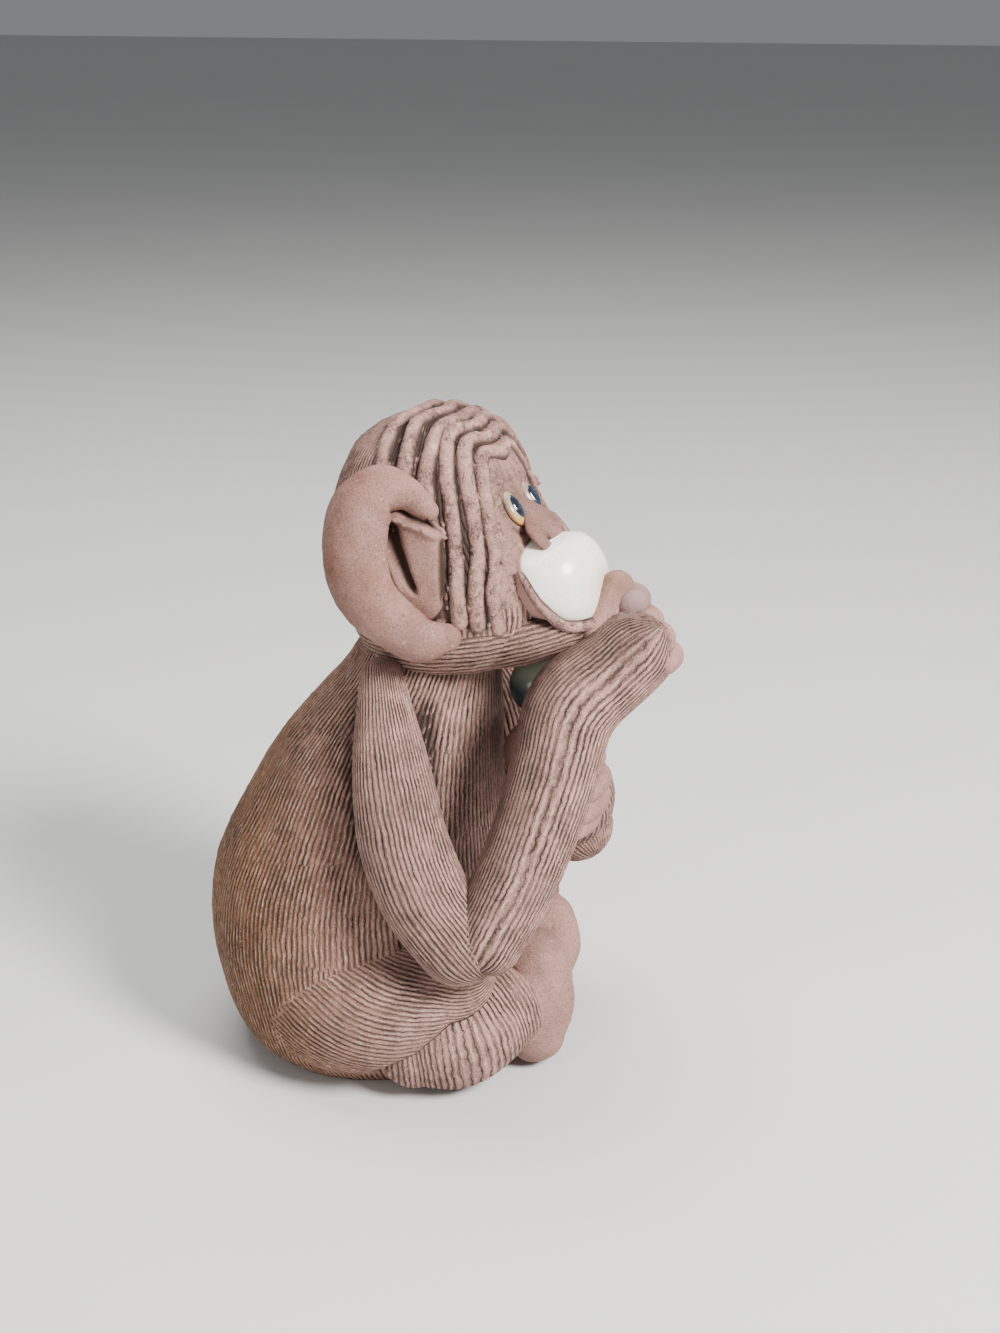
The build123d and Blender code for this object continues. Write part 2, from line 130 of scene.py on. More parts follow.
def anglesRound(around):
    return np.linspace(0, fullTurn, around, endpoint=False)


def rollGrid(stations, outward, flatness, along, around, square=1.0):
    # a tapering roll with round ends; stations are x, y, z, radius
    line = flow(stations, along)
    centre, radius = line[:, :3], line[:, 3]
    way = unit(np.gradient(centre, axis=0))
    turn = np.linspace(0, math.pi / 2, capRows, endpoint=False)
    head = centre[0] - way[0] * radius[0] * np.cos(turn)[:, None]
    tail = centre[-1] + way[-1] * radius[-1] * np.cos(turn)[::-1, None]
    centres = np.concatenate([head, centre, tail])
    radii = np.concatenate([radius[0] * np.sin(turn), radius, radius[-1] * np.sin(turn)[::-1]])
    ways = np.concatenate([np.repeat(way[:1], capRows, 0), way, np.repeat(way[-1:], capRows, 0)])
    across = unit(np.cross(ways, outward))
    out = np.cross(ways, across)
    angle = anglesRound(around)
    c, s = np.cos(angle), np.sin(angle)
    c, s = np.sign(c) * np.abs(c) ** square, np.sign(s) * np.abs(s) ** square
    grid = centres[:, None] + radii[:, None, None] * (
        c[None, :, None] * across[:, None] + flatness * s[None, :, None] * out[:, None])
    run = np.r_[0, np.cumsum(np.linalg.norm(np.diff(centres, axis=0), axis=1))]
    return grid, np.repeat(run[:, None], around, 1), np.repeat(angle[None], len(centres), 0)


def lumpGrid(centre, width, length, height, tilt, rows, around):
    # an oval lump, tilted about the axis from ear to ear
    rise = -np.cos(np.linspace(0, math.pi, rows))
    swell = np.sqrt(np.maximum(0, 1 - rise**2))
    angle = anglesRound(around)
    own = np.stack([swell[:, None] * np.cos(angle) * width / 2, swell[:, None] * np.sin(angle) * length / 2,
                    np.repeat(rise[:, None], around, 1) * height / 2], -1)
    a = math.radians(tilt)
    turned = own @ np.array([[1, 0, 0], [0, math.cos(a), math.sin(a)], [0, -math.sin(a), math.cos(a)]])
    return np.asarray(centre) + turned, own


def lump(grid, own):
    return (*skin(grid), spread(own))


def tiltedUp(tilt):
    return np.array([0.0, -math.sin(math.radians(tilt)), math.cos(math.radians(tilt))])


def stackGrid(f, foot, rows, around):
    # horizontal ovals from the section shares: height, width, length, set back
    table = np.array(f["sections"])
    t = table[-1, 0] * np.linspace(0, 1, rows) ** f["crowding"]
    cut = ease(t, table[:, 0], table)
    angle = anglesRound(around)
    x = cut[:, 1:2] * f["width"] / 2 * np.cos(angle)
    y = cut[:, 2:3] * f["length"] / 2 * np.sin(angle) + cut[:, 3:4] * f["length"] + foot[1]
    z = np.repeat(t[:, None] * f["height"] + foot[2], around, 1)
    return np.stack([x + foot[0], y, z], -1)


def spread(values):
    # a grid's values in the order of its skin's vertices
    return np.concatenate([values[0, :1], values[1:-1].reshape((-1,) + values.shape[2:]), values[-1, :1]])


def turnsOf(grid):
    return spread(np.repeat(anglesRound(grid.shape[1])[None], len(grid), 0))


def coreOf(grid):
    return spread(np.repeat(grid.mean(1)[:, None], grid.shape[1], 1))


def skin(grid):
    # vertices and faces of a grid that closes round and at both ends
    rows, cols = grid.shape[:2]
    places = spread(grid)
    idx = 1 + np.arange((rows - 2) * cols).reshape(rows - 2, cols)
    a, d = idx[:-1], idx[1:]
    quads = np.stack([a, np.roll(a, -1, 1), np.roll(d, -1, 1), d], -1).reshape(-1, 4)
    p = places[quads]
    flip = 1
    if np.einsum("ij,ij->i", p[:, 0], np.cross(p[:, 1] - p[:, 0], p[:, 2] - p[:, 0])).sum() < 0:
        quads, flip = quads[:, ::-1], -1
    fans = [(0, int(q), int(p))[::flip] for p, q in zip(idx[0], np.roll(idx[0], -1))]
    fans += [(len(places) - 1, int(p), int(q))[::flip] for p, q in zip(idx[-1], np.roll(idx[-1], -1))]
    return places, quads.tolist() + fans


def treeOf(grid):
    places, faces = skin(grid)
    return BVHTree.FromPolygons(places.tolist(), faces)


def settle(places, tree, reach):
    # presses places that lie near another piece down to it, so that the join is soft
    reach = np.broadcast_to(reach, len(places))
    out = places.copy()
    for i, place in enumerate(places):
        if reach[i] <= 0:
            continue
        spot, normal, _, gap = tree.find_nearest(place, float(reach[i]))
        if spot is None or gap < 1e-6 or (Vector(place) - spot).dot(normal) < 0:
            continue
        t = gap / reach[i]
        out[i] = np.array(spot) + (place - np.array(spot)) * t * (2 - t)
    return out


def near(places, tree, reach):
    # how close each place lies to another piece: 1 on it, 0 beyond the reach
    out = np.zeros(len(places))
    for i, place in enumerate(places):
        gap = tree.find_nearest(place, float(reach))[3]
        if gap is not None:
            out[i] = 1 - gap / reach
    return out


combFacts = {
    "cut": 0.15,  # half a groove's width, as a share of the gap between lines
    "wander": 0.45, "stretch": (7, 7, 16), "fineWander": 0.15, "fineSize": 2.6,
    "firmness": 0.75, "firmSpread": 0.6, "firmSize": 4.2, "firmLimits": (0.1, 1.2),
    "rough": 0.16, "roughSize": 1.1, "crumb": 1.5, "crumbSize": 0.75, "crumbLeast": 0.5,
    "grooveShade": 0.6,
}
noLine = 0.25  # a line's value where the comb left no groove


def combed(phases, places, f, pick=None):
    # grooves of a comb drawn over damp clay: height, the painted shade in each groove, and the comb's lines
    c = combFacts
    wander = (c["wander"] * clump(places, np.array(f.get("stretch", c["stretch"])), 1.3)
              + c["fineWander"] * clump(places, c["fineSize"], 4.4))
    lines = [phase + wander for phase in phases]
    line = lines[0] if pick is None else np.choose(pick, lines)
    cut = bell(line % 1 - 0.5, c["cut"])
    firm = np.clip(c["firmness"] + c["firmSpread"] * clump(places, c["firmSize"], 5.2), *c["firmLimits"])
    crumbs = c["crumb"] * crumble(places, c["crumbSize"], 1.7, c["crumbLeast"])
    height = f["depth"] * (-cut * firm + c["rough"] * clump(places, c["roughSize"], 3.1) + crumbs)
    # the grooves are darkened with painted shade, and the crumbs in them are left light
    return height, np.clip(cut * firm - crumbs, 0, 1) * c["grooveShade"], lines


def cornerLines(faces, lines, wraps, pick):
    # the comb's lines at each face's own corners, unbroken where the grid closes on itself
    sizes = np.array([len(face) for face in faces])
    flat = np.concatenate([np.asarray(face) for face in faces])
    starts = np.r_[0, np.cumsum(sizes)[:-1]]
    owner = np.repeat(np.arange(len(faces)), sizes)
    chosen = np.zeros(len(faces), int) if pick is None else np.asarray(pick)[flat[starts]]
    out = np.zeros(len(flat))
    for k, (line, wrap) in enumerate(zip(lines, wraps)):
        values = line[flat]
        if wrap:
            top = np.maximum.reduceat(values, starts)[owner]
            values = np.where(values < top - wrap / 2, values + wrap, values)
        out = np.where(chosen[owner] == k, values, out)
    return out


def makePiece(name, places, faces, finish, height=None, dark=None, comb=None, nodes=None):
    # the piece stands for the solids in nodes, or else for the one that its own name starts with
    material, slot = finish
    mesh = bpy.data.meshes.new(name)
    mesh.from_pydata((places * mm).tolist(), [], faces)
    mesh.update()
    if height is not None:
        normals = np.zeros(len(places) * 3, np.float32)
        mesh.vertex_normals.foreach_get("vector", normals)
        moved = places + normals.reshape(-1, 3) * np.asarray(height)[:, None]
        mesh.vertices.foreach_set("co", (np.clip(moved, boxLow, boxHigh) * mm).ravel())
    # painted shade and a darker tone on clay pieces; on glazed pieces, where the clay is bare
    tone = mesh.attributes.new("shade_tone_and_bare", "FLOAT", "POINT")
    tone.data.foreach_set("value", np.zeros(len(places)) if dark is None else np.asarray(dark, float))
    if comb is not None:
        mesh.attributes.new("comb", "FLOAT", "CORNER").data.foreach_set("value", cornerLines(faces, *comb))
    mesh.polygons.foreach_set("use_smooth", [True] * len(mesh.polygons))
    mesh.materials.append(material)
    mesh.update()
    piece = bpy.data.objects.new(name, mesh)
    bpy.context.scene.collection.objects.link(piece)
    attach(piece, "root")
    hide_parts(*(nodes or [name.rsplit("_", 1)[0]]))
    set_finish(piece, slot)
    return piece


def twin(piece, node, back=0.0):
    # the same piece on the figure's other side
    mesh = piece.data.copy()
    co = np.zeros(len(mesh.vertices) * 3, np.float32)
    mesh.vertices.foreach_get("co", co)
    co = co.reshape(-1, 3)
    co[:, 0] *= -1
    co[:, 1] += back * mm
    mesh.vertices.foreach_set("co", co.ravel())
    mesh.flip_normals()
    mesh.update()
    other = bpy.data.objects.new(node + "_clay", mesh)
    bpy.context.scene.collection.objects.link(other)
    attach(other, "root")
    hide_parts(node)
    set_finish(other, piece["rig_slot"])


# Finishes
class Nodes:
    def __init__(self, name):
        self.material = bpy.data.materials.new(name)
        self.material.use_nodes = True
        self.tree = self.material.node_tree
        self.shader = self.tree.nodes["Principled BSDF"]
        self.coord = self.tree.nodes.new("ShaderNodeTexCoord").outputs["Object"]

    def put(self, kind, inputs=(), **values):
        node = self.tree.nodes.new("ShaderNode" + kind)
        for key, value in values.items():
            setattr(node, key, value)
        for key, value in dict(inputs).items():
            self.link(value, node.inputs[key])
        return node

    def link(self, value, socket):
        if isinstance(value, bpy.types.NodeSocket):
            self.tree.links.new(value, socket)
        else:
            socket.default_value = value

    def noise(self, scale, detail=3.0, rough=0.6):
        return self.put("TexNoise", {"Vector": self.coord, "Scale": scale, "Detail": detail,
                                     "Roughness": rough}).outputs["Fac"]

    def span(self, value, low, high, new=(0.0, 1.0)):
        return self.put("MapRange", {0: value, 1: low, 2: high, 3: new[0], 4: new[1]}).outputs[0]

    def mix(self, factor, a, b, blend="MIX"):
        return self.put("Mix", {0: factor, 6: a, 7: b}, data_type="RGBA", blend_type=blend).outputs[2]

    def sums(self, kind, a, b):
        return self.put("Math", {0: a, 1: b}, operation=kind).outputs[0]

    def times(self, a, b):
        return self.sums("MULTIPLY", a, b)

    def plus(self, a, b):
        return self.sums("ADD", a, b)

    def place(self, axis):
        return self.put("SeparateXYZ", {0: self.coord}).outputs[axis]

    def painted(self, name):
        return self.put("Attribute", attribute_name=name).outputs["Fac"]

    def relief(self, height, strength, distance):
        bump = self.put("Bump", {"Height": height, "Strength": strength, "Distance": distance})
        self.link(bump.outputs["Normal"], self.shader.inputs["Normal"])


def rgb(r, g, b):
    return (r, g, b, 1.0)


clayFacts = {
    "warm": rgb(0.215, 0.1, 0.05),
    "cool": rgb(0.325, 0.184, 0.154),
    "dark": rgb(0.02, 0.011, 0.007),
    "pale": rgb(0.56, 0.42, 0.33),
    "rose": rgb(0.24, 0.108, 0.078),
    "ironSpot": rgb(0.045, 0.024, 0.016),
    "backEdge": (-0.014, 0.01), "backLean": 0.012, "backHeight": 0.1,  # where the warm back begins
    "roseScale": 130, "cloudScale": 95, "cloud": 0.3,
    "grainScale": 3600, "fleckScale": 1620, "grainShare": 0.55, "fleckShare": 0.7,
    "ragged": 0.42, "raggedScale": 820, "firmScale": 300, "fineScale": 400, "ridgeScale": 620,
    # strengths of the painted highlight on the comb's ridges, of the painted shade in its fine and deep
    # grooves, and of the shade and tone that the pieces paint
    "ridge": 0.75, "fine": 0.6, "deep": 0.96, "shade_tone_and_bare": 0.92,
    "roughness": (0.72, 0.95), "roughScale": 700, "specular": 0.3, "relief": 0.0003,
}


def clay(name, paleShare, lift, rosy, stain=None, lined=False):
    # speckled stoneware: warm on the back, mauve in front, with painted shade in the grooves of the comb
    n, f = Nodes(name), clayFacts
    lean = n.span(n.place("Z"), 0, f["backHeight"], (0, f["backLean"]))
    far = n.sums("SUBTRACT", n.place("Y"), lean)
    base = n.mix(n.span(far, *f["backEdge"]), f["cool"], f["warm"])
    base = n.mix(n.span(n.noise(f["roseScale"]), 0.35, 0.7, (0, rosy)), base, f["rose"])
    reach = ((1 - f["cloud"]) * lift, (1 + f["cloud"]) * lift)
    cloud = n.span(n.noise(f["cloudScale"], 5, 0.7), 0.3, 0.7, reach)
    base = n.mix(1, base, n.put("CombineColor", {0: cloud, 1: cloud, 2: cloud}).outputs[0], "MULTIPLY")
    # pale grog and dark iron, fine as grain and coarse as flecks
    grain = n.noise(f["grainScale"], 3, 0.75)
    fleck = n.noise(f["fleckScale"], 2, 0.6)
    base = n.mix(n.span(grain, 0.55, 0.72, (0, paleShare)), base, f["pale"])
    base = n.mix(n.span(grain, 0.47, 0.33, (0, f["grainShare"])), base, f["ironSpot"])
    base = n.mix(n.span(fleck, 0.69, 0.74, (0, f["fleckShare"])), base, f["pale"])
    base = n.mix(n.span(fleck, 0.31, 0.26, (0, f["fleckShare"])), base, f["ironSpot"])
    rough = grain
    if lined:
        # a deep groove on each line of the comb and a fine one between, bumped and darkened with painted
        # shade, and a painted highlight on the ridge
        wave = n.plus(n.painted("comb"), n.span(n.noise(f["raggedScale"], 4), 0, 1,
                                                (-f["ragged"], f["ragged"])))
        cutLine = n.sums("PINGPONG", wave, 0.5)
        fineLine = n.sums("PINGPONG", n.times(wave, 2), 0.5)
        firm = n.span(n.noise(f["firmScale"], 4), 0.34, 0.6, (0.3, 1))
        deep = n.times(n.span(cutLine, 0.33, 0.46), firm)
        fine = n.times(n.span(fineLine, 0.34, 0.48), n.span(n.noise(f["fineScale"], 2), 0.38, 0.6))
        ridge = n.times(n.span(cutLine, 0.16, 0.03), n.span(n.noise(f["ridgeScale"], 4), 0.46, 0.66))
        base = n.mix(n.times(ridge, f["ridge"]), base, f["pale"])
        base = n.mix(n.times(fine, f["fine"]), base, f["dark"])
        base = n.mix(n.times(deep, f["deep"]), base, f["dark"])
        rough = n.plus(n.times(grain, 0.8), n.plus(n.times(deep, -1), n.times(fine, -0.4)))
    if stain:
        tint, low, high = stain
        base = n.mix(n.times(n.span(n.place("Z"), low, high), n.span(n.noise(300), 0.3, 0.55)), base, tint)
    # painted shade, and a darker tone in a few places, that each piece sets on its vertices
    base = n.mix(n.span(n.painted("shade_tone_and_bare"), 0.05, 0.95, (0, f["shade_tone_and_bare"])), base, f["dark"])
    n.link(base, n.shader.inputs["Base Color"])
    n.link(n.span(n.noise(f["roughScale"], 2), 0.3, 0.7, f["roughness"]), n.shader.inputs["Roughness"])
    n.shader.inputs["Specular IOR Level"].default_value = f["specular"]
    n.relief(rough, 1 if lined else 0.6, f["relief"])
    return n.material, "combed_clay" if lined else "smooth_clay"


combedClay = clay("combed stoneware", 0.62, 1, 0, lined=True)
smoothClay = clay("smoothed stoneware", 0.4, 0.92, 0.25)
earClay = clay("rosy smoothed stoneware", 0.3, 0.84, 1)
# each stain has its colour and the heights between which it comes in
thumbClay = clay("thumb's cream stain", 0.5, 1.1, 0.3, (rgb(0.21, 0.12, 0.085), 0.0745, 0.0775))
lilacClay = clay("fingertip's lilac stain", 0.5, 1.1, 0.3, (rgb(0.23, 0.15, 0.14), 0.069, 0.073))

glazeFacts = {
    "speckScale": 1900, "roughScale": 260, "bareRoughness": 0.5, "coatRoughness": 0.12,
    "reliefScale": 420, "reliefStrength": 0.25, "relief": 0.0002,
}
satin = {"speckShare": 0.5, "roughness": (0.24, 0.42), "coat": 0.35}
# each glaze has two mottled colours, and bands where it turns to another colour along an axis
whiteFacts = {
    "mottle": (160, 0.35, 0.65), "colours": (rgb(0.8, 0.74, 0.66), rgb(0.9, 0.87, 0.81)),
    "bands": (("Y", -0.0316, -0.0336, rgb(0.6, 0.42, 0.26)),
              ("Z", 0.0728, 0.0705, rgb(0.42, 0.25, 0.18))),
    "speck": rgb(0.1, 0.07, 0.05), **satin,
}
eyeFacts = {
    "mottle": (420, 0.35, 0.65), "colours": (rgb(0.2, 0.15, 0.11), rgb(0.35, 0.28, 0.21)),
    "bands": (("Z", 0.0885, 0.086, rgb(0.52, 0.27, 0.07)),),
    "speck": rgb(0.12, 0.07, 0.04), **satin,
}
pupilFacts = {
    "mottle": (520, 0.45, 0.65), "colours": (rgb(0.008, 0.01, 0.018), rgb(0.03, 0.05, 0.075)),
    "bands": (), "speck": rgb(0.2, 0.2, 0.2), "speckShare": 0, "roughness": (0.08, 0.16), "coat": 1,
}
# the ball's bands are painted reflection: a pale green one on top and a dark blue one underneath
ballGlazeFacts = {
    "mottle": (300, 0.4, 0.6), "colours": (rgb(0.02, 0.045, 0.05), rgb(0.06, 0.12, 0.12)),
    "bands": (("Z", 0.0585, 0.0612, rgb(0.3, 0.38, 0.3)),
              ("Z", 0.0572, 0.055, rgb(0.03, 0.03, 0.09))),
    "speck": rgb(0.5, 0.5, 0.5), "speckShare": 0, "roughness": (0.08, 0.18), "coat": 1,
}


def glaze(name, slot, f):
    n, g = Nodes(name), glazeFacts
    scale, low, high = f["mottle"]
    base = n.mix(n.span(n.noise(scale), low, high), *f["colours"])
    for axis, low, high, tint in f["bands"]:
        base = n.mix(n.span(n.place(axis), low, high), base, tint)
    bare = n.painted("shade_tone_and_bare")  # 1 where the glaze leaves the clay bare
    base = n.mix(bare, base, clayFacts["cool"])
    spots = n.span(n.noise(g["speckScale"], 1, 0.4), 0.3, 0.24, (0, f["speckShare"]))
    n.link(n.mix(spots, base, f["speck"]), n.shader.inputs["Base Color"])
    rough = n.span(n.noise(g["roughScale"]), 0.3, 0.7, f["roughness"])
    n.link(n.plus(rough, n.times(bare, g["bareRoughness"])), n.shader.inputs["Roughness"])
    n.link(n.span(bare, 0, 1, (f["coat"], 0)), n.shader.inputs["Coat Weight"])
    n.shader.inputs["Coat Roughness"].default_value = g["coatRoughness"]
    n.relief(n.noise(g["reliefScale"]), g["reliefStrength"], g["relief"])
    return n.material, slot


whiteGlaze = glaze("white glaze", "white_glaze", whiteFacts)
eyeGlaze = glaze("cream and ochre eye glaze", "eye_white_glaze", eyeFacts)
pupilGlaze = glaze("blue black pupil glaze", "pupil_glaze", pupilFacts)
ballGlaze = glaze("grey green ball glaze", "ball_glaze", ballGlazeFacts)
print("finishes mixed")

# Body: a hollow pear, combed from the neck down
bodyFacts = {
    "height": 69, "width": 56, "length": 51, "crowding": 1.1, "rows": 140, "around": 690,
    "spacing": 0.88, "depth": 0.17, "lumps": 0.25, "lumpSize": 9,
    "strokeEnds": (20, 37, 53), "ragged": 5, "strokeShift": 0.37,
    "sections": (
        (0, 0.77, 0.81, 0.075), (0.03, 0.85, 0.86, 0.08), (0.09, 0.94, 0.91, 0.085),
        (0.18, 0.99, 0.94, 0.1), (0.29, 1, 0.95, 0.12), (0.435, 0.93, 0.885, 0.13),
        (0.58, 0.82, 0.77, 0.09), (0.725, 0.73, 0.64, 0.03), (0.826, 0.63, 0.535, -0.025),
        (0.9, 0.52, 0.45, -0.07), (0.957, 0.44, 0.41, -0.098), (1, 0.4, 0.39, -0.11),
    ),
    "discInset": 5, "discTop": 4.9, "underside": 0.3,
    "creaseReach": 6.5, "creaseStarts": (0.12, 0.45), "creaseFront": -9, "creaseSoft": 0.4,
    "creaseTop": (63, 58), "creaseDepth": 0.4, "creaseDark": 0.95, "crumbHeight": 1.2,
}


def bodyPlace(x, y, z):
    return (x * bodyFacts["width"], y * bodyFacts["length"], z * bodyFacts["height"])


def strokes(f, turn):
    # the comb's lines in each stroke down the body, with as many as fit round it there
    table, ends = np.array(f["sections"]), np.array((0.0, *f["strokeEnds"], f["height"]))
    phases, counts = [], []
    for stroke, level in enumerate((ends[1:] + ends[:-1]) / 2):
        across, along = (np.interp(level / f["height"], table[:, 0], table[:, k]) for k in (1, 2))
        counts.append(round(math.pi * (across * f["width"] + along * f["length"]) / 2 / f["spacing"]))
        phases.append(turn / fullTurn * counts[-1] + f["strokeShift"] * stroke)
    return phases, counts


def makeBody(f):
    wall = stackGrid(f, (0, 0, 0), f["rows"], f["around"])
    middle = np.array([0.0, f["sections"][0][3] * f["length"], 0.0])
    rim = wall[0] - middle
    inner = middle + rim * (1 - f["discInset"] / np.linalg.norm(rim[:, :2], axis=1, keepdims=True))
    disc = np.array([0, 0, f["discTop"]])
    foot = [np.repeat((middle + disc)[None], f["around"], 0), inner + disc, inner, (inner + wall[0]) / 2]
    top = np.repeat(wall[-1].mean(0)[None], f["around"], 0)
    grid = np.concatenate([np.array(foot), wall, top[None]])
    places, faces = skin(grid)
    # strokes of the comb, each as long as a hand's reach, with ragged ends
    pick = np.searchsorted(f["strokeEnds"], places[:, 2] + f["ragged"] * clump(places, 6, 2.2))
    phases, counts = strokes(f, turnsOf(grid))
    height, dark, lines = combed(phases, places, f, pick)
    under = places[:, 2] < f["underside"]
    height = np.where(under, 0, height) + f["lumps"] * clump(places, f["lumpSize"], 0.7) * (~under)
    # the arms lie against the body in shadowed creases, which are wider in front
    mirrored = np.column_stack([-np.abs(places[:, 0]), places[:, 1:]])
    start = np.where(places[:, 1] < f["creaseFront"], *f["creaseStarts"])
    crease = ramp(start, start + f["creaseSoft"], near(mirrored, armTree, f["creaseReach"]))
    crease = crease * ramp(*f["creaseTop"], places[:, 2])
    crumbs = crumble(places, 0.7, 6.1, 0.35) * crease
    height = height - f["creaseDepth"] * crease + f["crumbHeight"] * crumbs
    dark = np.clip(np.where(under, 0, dark) + f["creaseDark"] * crease - 2.5 * crumbs, 0, 1)
    makePiece("clay_body", places, faces, combedClay, height, dark, (lines, counts, pick), ["body_shell"])


bodyTree = treeOf(stackGrid(bodyFacts, (0, 0, 0), 60, 90))
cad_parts["base_disc"].data.materials.clear()
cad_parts["base_disc"].data.materials.append(smoothClay[0])

# Head: its own oval, combed on the crown behind the rolls and along the chin below
headFacts = {
    "height": 38, "width": 34.5, "length": 35, "crowding": 1, "rows": 150, "around": 440,
    "spacing": 0.85, "lines": 112, "depth": 0.16, "stretch": (14, 14, 9),
    "sections": (
        (0, 0.4, 0.457, 0.103), (0.045, 0.66, 0.657, 0.075), (0.12, 0.83, 0.8, 0.046),
        (0.225, 0.945, 0.914, 0.032), (0.355, 0.995, 0.957, 0.039), (0.51, 1, 0.895, 0.085),
        (0.67, 0.96, 0.79, 0.136), (0.8, 0.86, 0.69, 0.138), (0.905, 0.68, 0.535, 0.139),
        (0.965, 0.46, 0.331, 0.132), (0.99, 0.26, 0.16, 0.132),
    ),
    "crown": 0.2, "chinShare": 0.24, "browShare": 0.34, "browLumps": 0.12, "browDark": 0.18,
    "hairSoft": 0.6, "hairBack": (2.4, 1), "hairFoot": (0.24, 0.29), "hairDepth": 0.25,
}
headFoot = np.array([0.0, -10.61, 62.5])
headMiddle = headFoot + up * headFacts["height"] / 2


def headPlace(y, z):
    return np.array([0.0, headFoot[1] + y * headFacts["length"], headFoot[2] + z * headFacts["height"]])


def headSide(y, z):
    # the place on the head's right side that is seen there from the side
    table = np.array(headFacts["sections"])
    rise = np.clip((z - headFoot[2]) / headFacts["height"], 0, table[-1, 0])
    across, along, back = (np.interp(rise, table[:, 0], table[:, k]) for k in (1, 2, 3))
    away = (y - headFoot[1] - back * headFacts["length"]) / (along * headFacts["length"] / 2)
    return np.array([-across * headFacts["width"] / 2 * math.sqrt(max(0, 1 - away**2)), y, z])


rollFacts = {
    "thick": 2.5, "flat": 0.94, "sink": 0.35, "wobble": 0.35, "along": 260, "around": 30,
    "sway": 0.35, "rough": 0.07, "crumb": 0.5, "streaks": 0.16, "dark": 0.9, "shadedSides": (0.8, 0.15),
    "lines": (  # back and height shares, from the cheek to the middle of the crown
        ((-0.305, 0.262), (-0.288, 0.395), (-0.275, 0.52), (-0.224, 0.64), (-0.183, 0.765),
         (-0.141, 0.868), (-0.17, 0.855)),
        ((-0.241, 0.285), (-0.233, 0.402), (-0.222, 0.53), (-0.178, 0.67), (-0.132, 0.805),
         (-0.085, 0.912), (-0.115, 0.908)),
        ((-0.181, 0.3), (-0.171, 0.405), (-0.155, 0.53), (-0.116, 0.68), (-0.066, 0.835),
         (-0.022, 0.943), (-0.055, 0.948)),
        ((-0.06, 0.64), (-0.03, 0.73), (-0.008, 0.81), (0.004, 0.885), (0.022, 0.955), (0.005, 0.972)),
        ((0.06, 0.79), (0.077, 0.842), (0.094, 0.92), (0.117, 0.976), (0.085, 0.988)),
        ((0.165, 0.8), (0.175, 0.847), (0.187, 0.902), (0.204, 0.958), (0.175, 0.99)),
    ),
}


def rollPath(shares):
    seen = [headPlace(*share) for share in shares]
    right = [headSide(place[1], place[2]) for place in seen[:-1]]
    path = np.array(right + seen[-1:] + [p * (-1, 1, 1) for p in right[::-1]])
    return path - unit(path - headMiddle) * rollFacts["sink"]


def makeHead(f):
    grid = stackGrid(f, headFoot, f["rows"], f["around"])
    ends = grid[0].mean(0), grid[-1].mean(0) + up * f["crown"]
    low, high = (np.tile(end, (1, f["around"], 1)) for end in ends)
    grid = np.concatenate([low, grid, high])
    places, faces = skin(grid)
    turn = turnsOf(grid)
    rise = (places[:, 2] - headFoot[2]) / f["height"]
    # crown strokes run down the back, chin strokes run round, and the brow is smooth
    first, last = (np.array([headPlace(*share) for share in rollFacts["lines"][k]]) for k in (0, -1))
    behind = places[:, 1] - np.interp(places[:, 2], first[:-1, 2], first[:-1, 1])
    down = turn / fullTurn * f["lines"]
    spin = places[:, 2] / f["spacing"] + 1.2 * np.sin(turn)
    chin = (rise + 0.02 * clump(places, 3, 8.1) < f["chinShare"]).astype(int)
    height, dark, lines = combed([down, spin], places, f, chin)
    brow = (behind < 0) & (rise > f["browShare"])
    lines.append(np.full(len(places), noLine))
    height = np.where(brow, f["browLumps"] * clump(places, 2.4, 3.3), height)
    dark = np.where(brow, f["browDark"], dark)
    # between the rolls of hair the clay lies in shadow, full of crumbs
    among = ramp(-f["hairSoft"], f["hairSoft"], behind) * ramp(*f["hairFoot"], rise)
    among = among * ramp(*(last[0][1] + back for back in f["hairBack"]), places[:, 1])
    crumbs = crumble(places, 0.7, 6.1, 0.35)
    dark = np.maximum(dark * (1 - among), among * (0.98 - 2.0 * crumbs))
    height = height + among * (crumbs * 0.8 - f["hairDepth"])
    makePiece("clay_head", places, faces, combedClay, height, np.clip(dark, 0, 1),
              (lines, (f["lines"], 0, 0), np.where(brow, 2, chin)), ["head_shell"])


def hairRoll(f, number, shares):
    path = rollPath(shares)
    radius = np.full((len(path), 1), f["thick"] / 2)
    grid = rollGrid(np.hstack([path, radius]), front, f["flat"], f["along"], f["around"])[0]
    places, faces = skin(grid)
    wobble = f["wobble"] * clump(places * (0.2, 1, 1), 6, 7.7 + number)
    height = (f["sway"] * wobble + f["rough"] * clump(places, 1.1, 3.3)
              + f["crumb"] * crumble(places, 0.75, 1.7, 0.6))
    lines = [noLine + f["streaks"] * clump(places * (0.4, 1, 0.4), 0.9, 2.6)]
    # each roll gets painted shade low down on its sides, where it meets the head
    outward = (unit(places - coreOf(grid)) * unit(places - headMiddle)).sum(1)
    low = ramp(*f["shadedSides"], outward + 0.12 * clump(places, 1.5, 6.3))
    makePiece("hair_roll_" + str(number) + "_clay", places, faces, combedClay, height, f["dark"] * low,
              (lines, (0,), None))


makeHead(headFacts)
headTree = treeOf(stackGrid(headFacts, headFoot, 60, 90))
for number, shares in enumerate(rollFacts["lines"], 1):
    hairRoll(rollFacts, number, shares)
print("head and hair laid")

